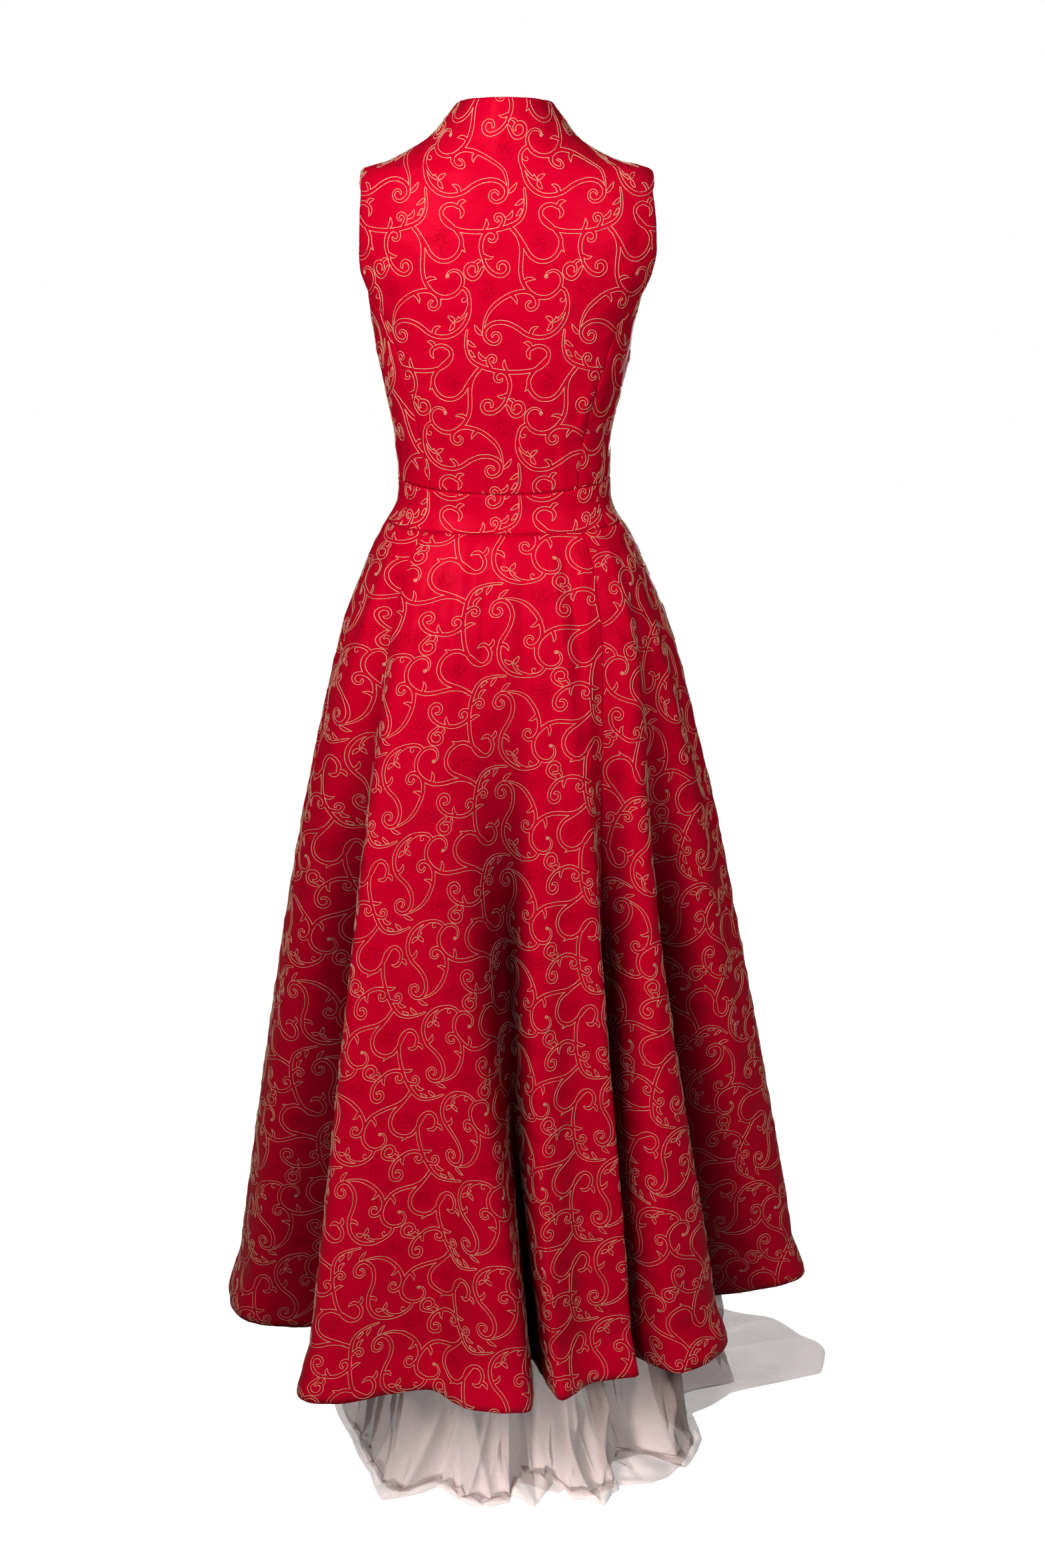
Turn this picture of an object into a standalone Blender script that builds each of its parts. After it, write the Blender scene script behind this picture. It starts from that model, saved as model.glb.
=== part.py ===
# Sleeveless evening gown with a grown-on funnel collar, a shaped waistband, a half-circle
# skirt in four gores and two layers of net underskirt, standing filled out and hollow.
# Metres, +Z up. The back of the gown faces -Y, the wearer's right is at +X. The origin is
# where the wearer carries the gown, in the middle of the shoulder line. Heights in the
# tables are measured from the middle of the waistband. Turns are degrees round the body:
# 0 is the centre back, 90 the wearer's right side, 180 the centre front.

import bmesh
import bpy
import numpy as np

# Cloth
clothWall = 0.0015
netWall = 0.0010
zipWall = 0.0012
seamGap = 0.0003
nestGap = 0.0006

# Main heights
waistZ = -0.400
hemHeight = -1.100
floorHeight = -1.268
bandTopCentre = 0.022
bandTopSide = 0.030
bandBottom = -0.0225
collarBack = 0.4635
collarSide = 0.4560
collarFront = 0.4360
collarFrontShape = 1.5
collarBackShape = 0.8

# Torso rings from the waistband's lower edge to the collar's top. Each has a height, a half
# width, a shift to the wearer's right, the depth behind and in front of its widest points,
# how square its corners are, and how far forward its widest points are.
torsoColumns = ("height", "half", "shift", "behind", "ahead", "square", "forward")
torsoRings = (
    (-0.0250, 0.1440, 0.0005, 0.0985, 0.1020, 0.20, 0.000),
    (-0.0100, 0.1345, 0.0005, 0.0910, 0.0945, 0.20, 0.000),
    (0.0050, 0.1295, 0.0005, 0.0875, 0.0910, 0.20, 0.000),
    (0.0220, 0.1280, 0.0005, 0.0870, 0.0920, 0.20, 0.000),
    (0.0500, 0.1285, 0.0000, 0.0885, 0.0960, 0.20, 0.000),
    (0.0800, 0.1300, -0.0010, 0.0920, 0.1030, 0.22, 0.000),
    (0.1120, 0.1360, -0.0010, 0.0960, 0.1120, 0.24, 0.000),
    (0.1440, 0.1430, -0.0005, 0.1000, 0.1200, 0.25, 0.000),
    (0.1750, 0.1495, 0.0000, 0.1030, 0.1250, 0.25, 0.000),
    (0.2060, 0.1535, 0.0000, 0.1055, 0.1260, 0.25, 0.000),
    (0.2370, 0.1640, 0.0020, 0.1065, 0.1210, 0.25, 0.000),
    (0.2700, 0.1780, 0.0045, 0.1060, 0.1120, 0.25, 0.000),
    (0.3130, 0.1900, 0.0060, 0.1020, 0.0980, 0.22, 0.002),
    (0.3575, 0.1850, 0.0050, 0.0930, 0.0800, 0.18, 0.006),
    (0.3850, 0.1655, 0.0045, 0.0850, 0.0660, 0.12, 0.010),
    (0.3940, 0.1330, 0.0020, 0.0820, 0.0600, 0.10, 0.011),
    (0.4020, 0.1145, 0.0000, 0.0790, 0.0560, 0.08, 0.012),
    (0.4176, 0.0885, 0.0005, 0.0740, 0.0500, 0.05, 0.014),
    (0.4400, 0.0685, 0.0020, 0.0690, 0.0470, 0.02, 0.017),
    (0.4570, 0.0555, 0.0025, 0.0650, 0.0450, 0.00, 0.019),
    (0.4640, 0.0515, 0.0025, 0.0640, 0.0440, 0.00, 0.020),
)

# Edges of the bodice back and front, as turns from the centre back and the centre front:
# the curved seams up to the armhole, then the armhole, then the shoulder seam at 90.
edgeColumns = ("height", "backTurn", "frontTurn")
bodiceEdges = (
    (0.0220, 43.0, 41.0),
    (0.0800, 46.5, 41.0),
    (0.1260, 49.0, 42.0),
    (0.1740, 53.0, 45.0),
    (0.2085, 58.0, 51.0),
    (0.2255, 61.5, 57.0),
    (0.2500, 70.0, 70.0),
    (0.2700, 70.0, 69.0),
    (0.3130, 63.5, 61.0),
    (0.3575, 64.5, 63.0),
    (0.3760, 75.0, 74.0),
    (0.3850, 90.0, 90.0),
    (0.4700, 90.0, 90.0),
)
armholeFoot = 0.213
armholeSeam = 0.250
roundTrim = 0.00034    # walls turn towards each other inside a seam on a rounded form

# Rows of the bodice, by height. The lowest are drawn to the waistband's edge, and the
# highest to the collar's.
bodiceRows = (0.022, 0.048, 0.076, 0.104, 0.130, 0.153, 0.174, 0.194, 0.213, 0.231, 0.250, 0.275,
              0.305, 0.335, 0.3575, 0.373, 0.385, 0.390, 0.397, 0.407, 0.4176, 0.430, 0.445, 0.4635)
footBlend = 0.120
headBlend = 0.4176
armholeFootTurn = 90.0
armholeFootHalf = 20.0
bodiceColumns = 17
sideColumns = 8

# Two cup shapes in the front
cupAcross = 0.082
cupHeight = 0.186
cupSpread = 0.046
cupRise = 0.060
cupDrop = 0.040
cupDepth = 0.017

# Rings of the skirt without its flutes
skirtColumns = ("height", "half", "behind", "ahead")
skirtRings = (
    (-0.0225, 0.1425, 0.0970, 0.1010),
    (-0.0350, 0.1500, 0.1040, 0.1080),
    (-0.0500, 0.1585, 0.1120, 0.1150),
    (-0.0830, 0.1725, 0.1260, 0.1280),
    (-0.1170, 0.1865, 0.1380, 0.1400),
    (-0.1510, 0.2005, 0.1480, 0.1500),
    (-0.2200, 0.2215, 0.1640, 0.1670),
    (-0.2900, 0.2395, 0.1770, 0.1810),
    (-0.3970, 0.2665, 0.1940, 0.2010),
    (-0.5450, 0.2960, 0.2140, 0.2240),
    (-0.6990, 0.3260, 0.2340, 0.2460),
    (-0.8580, 0.3555, 0.2540, 0.2670),
    (-1.0240, 0.3850, 0.2740, 0.2880),
    (-1.1000, 0.3960, 0.2830, 0.2980),
)
skirtSquare = 2.3
swellShape = 0.7
bandBlend = 0.110
bandColumns = 23
bandRows = 4
bandSeam = 62.0
fineSteps = 900
ringSteps = 361
hemKick = 0.012
hemKickFrom = -1.035

# How far the flutes' outsides reach at the hem
reachColumns = ("turn", "reach")
hemReach = (
    (-128.0, 0.365),
    (-104.0, 0.376),
    (-92.0, 0.375),
    (-78.0, 0.367),
    (-66.0, 0.357),
    (-45.0, 0.366),
    (-38.0, 0.342),
    (-30.0, 0.292),
    (-20.0, 0.266),
    (-9.0, 0.282),
    (4.0, 0.285),
    (16.0, 0.270),
    (26.0, 0.256),
    (35.0, 0.262),
    (46.0, 0.300),
    (57.0, 0.318),
    (66.0, 0.322),
    (84.0, 0.372),
    (93.0, 0.410),
    (106.0, 0.402),
    (122.0, 0.350),
    (141.0, 0.315),
    (160.0, 0.300),
    (180.0, 0.298),
    (200.0, 0.305),
    (218.0, 0.325),
)

# Valleys between the flutes: the turn near the waist, a third of the way down and at the
# hem, the depth at the hem, the half width at the waist and at the hem, and where it starts
valleyColumns = ("topTurn", "midTurn", "hemTurn", "depth", "topWidth", "hemWidth", "start")
skirtValleys = (
    (-50.0, -53.0, -56.0, 0.125, 7.0, 6.0, -0.070),
    (-17.0, -12.0, -21.0, 0.012, 5.0, 9.0, -0.040),
    (2.0, -1.0, 10.6, 0.105, 12.0, 2.3, -0.060),
    (18.0, 20.0, 25.0, 0.008, 5.0, 7.0, -0.040),
    (50.0, 41.0, 42.2, 0.090, 6.0, 2.3, -0.070),
    (68.0, 64.0, 78.0, 0.125, 8.0, 8.0, -0.090),
    (108.0, 110.0, 114.0, 0.085, 8.0, 5.5, -0.100),
    (130.0, 133.0, 137.0, 0.110, 8.0, 5.0, -0.060),
    (155.0, 156.0, 158.0, 0.075, 9.0, 5.5, -0.090),
    (181.0, 179.0, 180.0, 0.100, 9.0, 5.0, -0.070),
    (206.0, 207.0, 205.0, 0.070, 8.0, 6.0, -0.100),
    (230.0, 230.0, 232.0, 0.115, 8.0, 5.5, -0.060),
    (254.0, 255.0, 256.0, 0.060, 8.0, 7.0, -0.120),
)
midTurnHeight = -0.40
valleyShape = 2.2
valleyWidensFrom = 0.10
valleyWidensTo = 0.95

# Seams of the skirt, near the waist, a third of the way down and at the hem
skirtSeams = {
    "leftBack": (-50.0, -53.0, -56.0),
    "rightBack": (50.0, 41.0, 42.2),
    "rightFront": (130.0, 133.0, 137.0),
    "leftFront": (230.0, 230.0, 232.0),
}
skirtRows = (-0.0225, -0.042, -0.070, -0.110, -0.170, -0.250, -0.360, -0.500, -0.660,
             -0.820, -0.950, -1.045, -1.100)
skirtColumnsTotal = 136

# Net underskirt: it follows the inside of the flutes, then spreads on the floor
netClear = 0.014
netWindow = 7.0
netWindowSteps = 15
netFreeBy = 0.120
netLanding = 0.030
netHangShape = 0.5
netFallShape = 1.6
netDropShape = 1.3
netFloorGap = 0.0004
netColumns = 60
netRows = (-0.024, -0.060, -0.150, -0.400, -0.740, -1.060)
netFallRows = (0.35, 0.7, 1.0)
netFloorRows = (0.5, 1.0)
netSeams = (8, 23, 38, 53, 68)
hangColumns = ("turn", "reach")
netHang = (
    (-140.0, 0.215),
    (-98.0, 0.205),
    (-63.0, 0.200),
    (-44.0, 0.222),
    (-32.0, 0.242),
    (-22.0, 0.200),
    (-8.0, 0.225),
    (6.0, 0.212),
    (26.0, 0.235),
    (50.0, 0.262),
    (70.0, 0.250),
    (88.0, 0.290),
    (102.0, 0.285),
    (120.0, 0.245),
    (150.0, 0.222),
    (190.0, 0.212),
)
floorColumns = ("turn", "upper", "under")
netReach = (
    (-140.0, 0.250, 0.225),
    (-120.0, 0.242, 0.232),
    (-98.0, 0.240, 0.222),
    (-78.0, 0.246, 0.215),
    (-63.0, 0.242, 0.226),
    (-53.0, 0.235, 0.245),
    (-44.0, 0.262, 0.232),
    (-32.0, 0.303, 0.215),
    (-24.0, 0.266, 0.222),
    (-18.0, 0.222, 0.246),
    (-8.0, 0.258, 0.226),
    (0.0, 0.241, 0.212),
    (8.0, 0.272, 0.224),
    (16.0, 0.230, 0.250),
    (26.0, 0.296, 0.228),
    (33.0, 0.268, 0.240),
    (40.0, 0.300, 0.226),
    (50.0, 0.301, 0.244),
    (64.0, 0.297, 0.232),
    (74.0, 0.268, 0.262),
    (84.0, 0.320, 0.246),
    (92.0, 0.450, 0.252),
    (98.0, 0.468, 0.276),
    (106.0, 0.441, 0.262),
    (117.0, 0.380, 0.280),
    (132.0, 0.290, 0.262),
    (150.0, 0.262, 0.246),
    (170.0, 0.272, 0.232),
    (190.0, 0.250, 0.240),
    (205.0, 0.262, 0.228),
)
netLayerGap = 0.010

# Concealed zip inside the left front seam
zipHalfWidth = 0.009
zipGap = 0.0012
zipColumns = 4
zipRows = (-0.0065, 0.0094, 0.0254, 0.048, 0.076, 0.104, 0.130, 0.153, 0.174, 0.194)


def smoothTable(knots, values, at):
    # Cubic curve through a table's values that never swings past them
    knots = np.asarray(knots, float)
    values = np.asarray(values, float)
    at = np.clip(np.asarray(at, float), knots[0], knots[-1])
    step = np.diff(knots)
    slope = np.diff(values) / step
    bend = np.zeros_like(values)
    bend[0] = slope[0]
    bend[-1] = slope[-1]
    before = slope[:-1]
    after = slope[1:]
    rising = before * after > 0
    bend[1:-1][rising] = 2 * before[rising] * after[rising] / (before[rising] + after[rising])
    cell = np.clip(np.searchsorted(knots, at, side="right") - 1, 0, len(step) - 1)
    part = (at - knots[cell]) / step[cell]
    low = values[cell]
    high = values[cell + 1]
    lowBend = bend[cell] * step[cell]
    highBend = bend[cell + 1] * step[cell]
    change = high - low
    return low + part * (lowBend + part * (3 * change - 2 * lowBend - highBend
                                           + part * (lowBend + highBend - 2 * change)))


def column(table, names, name):
    return np.array([row[names.index(name)] for row in table])


def readTable(table, names, name, at):
    # Reads one column at the given first-column places, whichever way they run
    places = column(table, names, names[0])
    values = column(table, names, name)
    if places[0] > places[-1]:
        places = places[::-1]
        values = values[::-1]
    return smoothTable(places, values, at)


def roundTable(table, names, name, turn):
    # Reads a column of a table that runs once round the body
    places = column(table, names, names[0])
    values = column(table, names, name)
    places = np.concatenate((places - 360, places, places + 360))
    values = np.concatenate((values, values, values))
    wrapped = (np.asarray(turn, float) + 180) % 360 - 180
    return smoothTable(places, values, wrapped)


def ease(low, high, at):
    part = np.clip((np.asarray(at, float) - low) / (high - low), 0, 1)
    return part * part * (3 - 2 * part)


def bandTop(turn):
    sideways = np.sin(np.radians(turn)) ** 2
    return bandTopCentre + (bandTopSide - bandTopCentre) * sideways


def collarTop(turn):
    facing = np.cos(np.radians(turn))
    toFront = np.clip(-facing, 0, 1) ** collarFrontShape * (collarFront - collarSide)
    toBack = np.clip(facing, 0, 1) ** collarBackShape * (collarBack - collarSide)
    return collarSide + toFront + toBack


def torsoPoint(turn, height):
    def ring(name):
        return readTable(torsoRings, torsoColumns, name, height)

    angle = np.radians(turn)
    across = np.sin(angle)
    facing = np.cos(angle)
    depth = np.where(facing > 0, ring("behind") + ring("forward"), ring("ahead"))
    squared = facing * (1 + ring("square") * across ** 2)
    x = ring("shift") + ring("half") * across
    y = ring("forward") - depth * squared
    rise = np.where(height > cupHeight, cupRise, cupDrop)
    cup = np.exp(-((np.abs(x) - cupAcross) / cupSpread) ** 2 - ((height - cupHeight) / rise) ** 2)
    y = y + np.where(facing < 0, cupDepth * cup * np.clip(-facing * 2, 0, 1), 0)
    return np.stack([x, y, np.broadcast_to(height, x.shape)], axis=-1)


def along(values, height):
    # A line's turn at a height, from its turns near the waist, a third down and at the hem
    return smoothTable((hemHeight, midTurnHeight, 0.0), values[::-1], height)


def plainReach(turn, height):
    def ring(name):
        return readTable(skirtRings, skirtColumns, name, height)

    angle = np.radians(turn)
    across = np.abs(np.sin(angle))
    facing = np.cos(angle)
    depth = np.where(facing > 0, ring("behind"), ring("ahead"))
    power = skirtSquare
    return ((across / ring("half")) ** power + (np.abs(facing) / depth) ** power) ** (-1 / power)


def bandReach(turn):
    # How far out the waistband's lower edge is, by the same turns as the skirt
    line = torsoPoint(np.linspace(-180, 180, ringSteps), np.full(ringSteps, bandBottom))
    turns = np.degrees(np.arctan2(line[:, 0], -line[:, 1]))
    order = np.argsort(turns)
    reach = np.hypot(line[:, 0], line[:, 1])
    return np.interp(turn, turns[order], reach[order], period=360)


def skirtReach(turn, height):
    turn = np.asarray(turn, float)
    height = np.asarray(height, float)
    grown = np.clip((bandBottom - height) / (bandBottom - hemHeight), 0, 1)
    wanted = roundTable(hemReach, reachColumns, "reach", turn)
    swell = wanted / plainReach(turn, hemHeight) - 1
    reach = plainReach(turn, height) * (1 + swell * grown ** swellShape)
    joined = np.clip(1 - (bandBottom - height) / bandBlend, 0, 1) ** 2
    reach = reach + (bandReach(turn) - plainReach(turn, bandBottom)) * joined
    widened = ease(valleyWidensFrom, valleyWidensTo, grown)
    for row in skirtValleys:
        valley = dict(zip(valleyColumns, row))
        middle = along((valley["topTurn"], valley["midTurn"], valley["hemTurn"]), height)
        width = valley["topWidth"] + (valley["hemWidth"] - valley["topWidth"]) * widened
        away = (turn - middle + 180) % 360 - 180
        growth = np.clip((valley["start"] - height) / (valley["start"] - hemHeight), 0, 1)
        reach = reach - valley["depth"] * growth * np.exp(-np.abs(away / width) ** valleyShape)
    return reach + hemKick * ease(hemKickFrom, hemHeight, height)


def skirtPoint(turn, height):
    reach = skirtReach(turn, height)
    angle = np.radians(turn)
    return np.stack([reach * np.sin(angle), -reach * np.cos(angle),
                     np.broadcast_to(height, reach.shape)], axis=-1)


def clothLine(start, end, height):
    # Fine turns along the skirt at one height, with the length of cloth up to each
    fine = np.linspace(start, end, fineSteps)
    line = skirtPoint(fine, np.full(fine.shape, height))
    step = np.linalg.norm(np.diff(line, axis=0), axis=1)
    return fine, np.concatenate(([0], np.cumsum(step)))


def evenTurns(start, end, count, height):
    # Turns spaced evenly along the cloth between two seams, so that columns follow its grain
    fine, length = clothLine(start, end, height)
    return np.interp(np.linspace(0, length[-1], count), length, fine)


def trim(grid, left, right, low=0.0, high=0.0):
    # Draws the edges of a grid of points back along the cloth, to leave the seams' gaps
    def drawBack(edge, inner, amount):
        way = inner - edge
        return edge + way / np.linalg.norm(way, axis=-1, keepdims=True) * amount

    if low:
        grid[0] = drawBack(grid[0], grid[1], low)
    if high:
        grid[-1] = drawBack(grid[-1], grid[-2], high)
    grid[:, 0] = drawBack(grid[:, 0], grid[:, 1], left)
    grid[:, -1] = drawBack(grid[:, -1], grid[:, -2], right)
    return grid


def makeMaterial(name, colour, roughness, sheen=0.0, metallic=0.0, alpha=1.0):
    material = bpy.data.materials.new(name)
    material.use_nodes = True
    shader = material.node_tree.nodes["Principled BSDF"]
    shader.inputs["Base Color"].default_value = (*colour, 1)
    shader.inputs["Roughness"].default_value = roughness
    shader.inputs["Metallic"].default_value = metallic
    shader.inputs["Sheen Weight"].default_value = sheen
    shader.inputs["Alpha"].default_value = alpha
    material.diffuse_color = (*colour, 1)
    return material


def makeCloth(name, grid, material, wall, closed=False):
    # One wall of cloth through a grid of points, rows upwards and columns to the right
    # seen from outside, with its thickness inwards
    rows, columns = grid.shape[:2]
    mesh = bpy.data.meshes.new(name)
    shape = bmesh.new()
    points = [[shape.verts.new(grid[r, c]) for c in range(columns)] for r in range(rows)]
    around = columns if closed else columns - 1
    for r in range(rows - 1):
        for c in range(around):
            after = (c + 1) % columns
            shape.faces.new((points[r][c], points[r][after], points[r + 1][after], points[r + 1][c]))
    shape.to_mesh(mesh)
    shape.free()
    piece = bpy.data.objects.new(name, mesh)
    piece.location = (0, 0, waistZ)
    mesh.materials.append(material)
    gown.objects.link(piece)
    shell = piece.modifiers.new("Cloth thickness", "SOLIDIFY")
    shell.thickness = wall
    shell.offset = -1
    shell.use_even_offset = False
    return piece


def bodiceHeight(turns, row):
    # Heights of a row of the bodice, drawn to the waistband below and the collar's top above
    foot = np.clip((footBlend - row) / (footBlend - bodiceRows[0]), 0, 1)
    head = np.clip((row - headBlend) / (bodiceRows[-1] - headBlend), 0, 1)
    return row + foot * (bandTop(turns) - bodiceRows[0]) + head * (collarTop(turns) - bodiceRows[-1])


def makeBodiceHalf(name, edge, middle, material):
    # The back or the front, with the collar grown on
    rows = np.array(bodiceRows)[:, None]
    across = np.linspace(-1, 1, bodiceColumns)[None, :]
    turns = middle + across * readTable(bodiceEdges, edgeColumns, edge, rows)
    grid = torsoPoint(turns, bodiceHeight(turns, rows))
    grid = trim(grid, roundTrim, roundTrim, seamGap / 2)
    return makeCloth(name, grid, material, clothWall)


def footHeight(turn):
    # Lower edge of the armhole on the side panel
    away = (turn - armholeFootTurn) / armholeFootHalf
    return armholeFoot + (armholeSeam - armholeFoot) * away ** 2


def makeBodiceSide(name, side, material):
    rows = np.array([row for row in bodiceRows if row <= armholeSeam])[:, None]
    across = np.linspace(0, 1, sideColumns)[None, :]
    backEdge = readTable(bodiceEdges, edgeColumns, "backTurn", rows)
    frontEdge = 180 - readTable(bodiceEdges, edgeColumns, "frontTurn", rows)
    turns = backEdge + (frontEdge - backEdge) * across
    up = (rows - rows[0]) / (armholeSeam - rows[0])
    lowered = rows[0] + (footHeight(turns[-1:]) - rows[0]) * up
    heights = bodiceHeight(turns, lowered)
    if side < 0:
        turns = -turns[:, ::-1]
        heights = heights[:, ::-1]
    grid = trim(torsoPoint(turns, heights), roundTrim, roundTrim, seamGap / 2)
    return makeCloth(name, grid, material, clothWall)


def makeWaistband(name, start, end, material):
    turns = np.linspace(start, end, bandColumns)[None, :]
    up = np.linspace(0, 1, bandRows)[:, None]
    heights = bandBottom + (bandTop(turns) - bandBottom) * up
    turns = np.broadcast_to(turns, heights.shape)
    grid = trim(torsoPoint(turns, heights), seamGap / 2, seamGap / 2, seamGap / 2, seamGap / 2)
    return makeCloth(name, grid, material, clothWall)


def makeGore(name, startSeam, endSeam, lap, material):
    # One gore of the skirt, rows from the hem up
    start = np.array(skirtSeams[startSeam])
    end = np.array(skirtSeams[endSeam]) + lap
    share = clothLine(start[2], end[2], hemHeight)[1][-1] / clothLine(-180, 180, hemHeight)[1][-1]
    count = round(skirtColumnsTotal * share) + 1
    heights = np.array(skirtRows[::-1])
    turns = np.array([evenTurns(along(start, height), along(end, height), count, height)
                      for height in heights])
    heights = np.broadcast_to(heights[:, None], turns.shape)
    grid = trim(skirtPoint(turns, heights), seamGap / 2, seamGap / 2, 0, seamGap / 2)
    return makeCloth(name, grid, material, clothWall)


def insideReach(turn, height):
    # The furthest out that a smooth ring inside the flutes can lie
    steps = np.linspace(-netWindow, netWindow, netWindowSteps)
    around = [skirtReach(turn + step, height) for step in steps]
    inner = np.min(around, axis=0)
    soft = [np.min([skirtReach(turn + shift + step, height) for step in steps], axis=0)
            for shift in (-netWindow / 2, netWindow / 2)]
    return (2 * inner + np.maximum(inner, soft[0]) + np.maximum(inner, soft[1])) / 4


def netGrid(depth, first, count):
    # A layer of net from under the waistband to the floor and out over it, rows upwards
    turns = (-180 + (first + np.arange(count)) * 360 / netColumns)[None, :]
    hung = np.array(netRows)[:, None]
    start = skirtReach(turns, hung) - clothWall - nestGap - depth * (netWall + nestGap)
    grown = np.clip((bandBottom - hung) / (bandBottom - netRows[-1]), 0, 1)
    free = roundTable(netHang, hangColumns, "reach", turns)
    free = start[:1] + (free - start[:1]) * grown ** netHangShape
    inside = insideReach(turns, hung) - clothWall - netClear
    inside = np.minimum(inside, free) - depth * netLayerGap
    drop = np.clip((bandBottom - hung) / netFreeBy, 0, 1)
    reach = start + (np.minimum(inside, start) - start) * drop
    leave = reach[-1:]
    ends = [roundTable(netReach, floorColumns, layer, turns) for layer in ("upper", "under")]
    landing = np.minimum(ends[0], ends[1]) - netLanding - depth * netLayerGap
    landing = np.maximum(landing, leave + netLanding)
    fall = np.array(netFallRows)[:, None]
    bottom = floorHeight + (2 - depth) * netWall + (1.5 - depth) * netFloorGap
    fallReach = leave + (landing - leave) * fall ** netFallShape
    fallHeights = bottom + (hung[-1] - bottom) * (1 - fall) ** netDropShape
    spread = np.array(netFloorRows)[:, None]
    floorReach = landing + (np.maximum(ends[depth], landing + netLanding / 2) - landing) * spread
    reach = np.concatenate((reach, fallReach, floorReach))[::-1]
    heights = np.concatenate((hung, fallHeights, bottom + 0 * spread))[::-1]
    angle = np.radians(turns)
    return np.stack([reach * np.sin(angle), -reach * np.cos(angle), heights + 0 * reach], axis=-1)


def makeNet(name, depth, material):
    return makeCloth(name, netGrid(depth, 0, netColumns), material, netWall, closed=True)


def makeNetPanel(name, depth, first, last, material):
    # One of the panels that a layer is sewn from, with a seam at each side
    grid = trim(netGrid(depth, first, last - first + 1), seamGap / 2, seamGap / 2, 0, 0)
    return makeCloth(name, grid, material, netWall)


def outward(grid):
    # Directions straight out of the cloth at a grid's points
    up = np.gradient(grid, axis=0)
    around = np.gradient(grid, axis=1)
    way = np.cross(around, up)
    return way / np.linalg.norm(way, axis=-1, keepdims=True)


def makeZip(material):
    # Tape, coil and slider of the closed zip as one flat strip, just inside the seam
    heights = np.array(zipRows)[:, None]
    seam = readTable(bodiceEdges, edgeColumns, "frontTurn", heights) - 180
    reach = readTable(torsoRings, torsoColumns, "half", heights)
    spread = np.linspace(-1, 1, zipColumns)[None, :] * zipHalfWidth
    grid = torsoPoint(seam + np.degrees(spread / reach), heights + 0 * spread)
    grid = grid - outward(grid) * (clothWall + zipGap)
    return makeCloth("side_zip", grid, material, zipWall)


for old in list(bpy.data.objects):
    bpy.data.objects.remove(old, do_unlink=True)

gown = bpy.data.collections.new("evening_gown")
bpy.context.scene.collection.children.link(gown)

jacquard = makeMaterial("red satin jacquard", (0.62, 0.004, 0.018), 0.38, sheen=0.3)
net = makeMaterial("ivory net", (0.72, 0.62, 0.58), 0.7, alpha=0.6)
zipTape = makeMaterial("red zip tape", (0.45, 0.004, 0.015), 0.6)

makeBodiceHalf("bodice_back", "backTurn", 0, jacquard)
makeBodiceHalf("bodice_front", "frontTurn", 180, jacquard)
makeBodiceSide("bodice_side_right", 1, jacquard)
makeBodiceSide("bodice_side_left", -1, jacquard)
makeWaistband("waistband_back", -bandSeam, bandSeam, jacquard)
makeWaistband("waistband_front", bandSeam, 360 - bandSeam, jacquard)
makeGore("skirt_back", "leftBack", "rightBack", 0, jacquard)
makeGore("skirt_side_right", "rightBack", "rightFront", 0, jacquard)
makeGore("skirt_front", "rightFront", "leftFront", 0, jacquard)
makeGore("skirt_side_left", "leftFront", "leftBack", 360, jacquard)
makeNet("net_upper", 0, net)
for number, name in enumerate(("left", "back", "right", "front")):
    makeNetPanel("net_under_" + name, 1, netSeams[number], netSeams[number + 1], net)
makeZip(zipTape)
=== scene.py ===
# Evening gown seen from behind: red satin jacquard with gold scroll embroidery, over two
# layers of ivory net, standing filled out on a plain floor. Metres, +Z up.

import bmesh
import bpy
import numpy as np
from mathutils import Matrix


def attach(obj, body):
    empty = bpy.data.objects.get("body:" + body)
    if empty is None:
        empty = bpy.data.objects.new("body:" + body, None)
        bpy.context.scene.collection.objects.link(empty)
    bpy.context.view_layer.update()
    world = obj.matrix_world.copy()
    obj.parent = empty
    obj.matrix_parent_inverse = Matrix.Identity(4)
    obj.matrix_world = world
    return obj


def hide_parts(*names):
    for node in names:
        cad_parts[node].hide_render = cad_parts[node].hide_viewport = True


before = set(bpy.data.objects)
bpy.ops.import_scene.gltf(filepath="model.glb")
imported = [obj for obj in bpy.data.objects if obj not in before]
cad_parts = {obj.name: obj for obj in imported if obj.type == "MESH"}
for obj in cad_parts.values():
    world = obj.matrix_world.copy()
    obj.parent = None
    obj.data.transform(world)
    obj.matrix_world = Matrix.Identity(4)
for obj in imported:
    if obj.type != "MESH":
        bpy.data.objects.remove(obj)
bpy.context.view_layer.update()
print("frame loaded")

# The gown's form. Heights are measured from the middle of the waistband, and turns are
# degrees round the body: 0 centre back, 90 the wearer's right side, 180 centre front.
waistZ = -0.400

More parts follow.
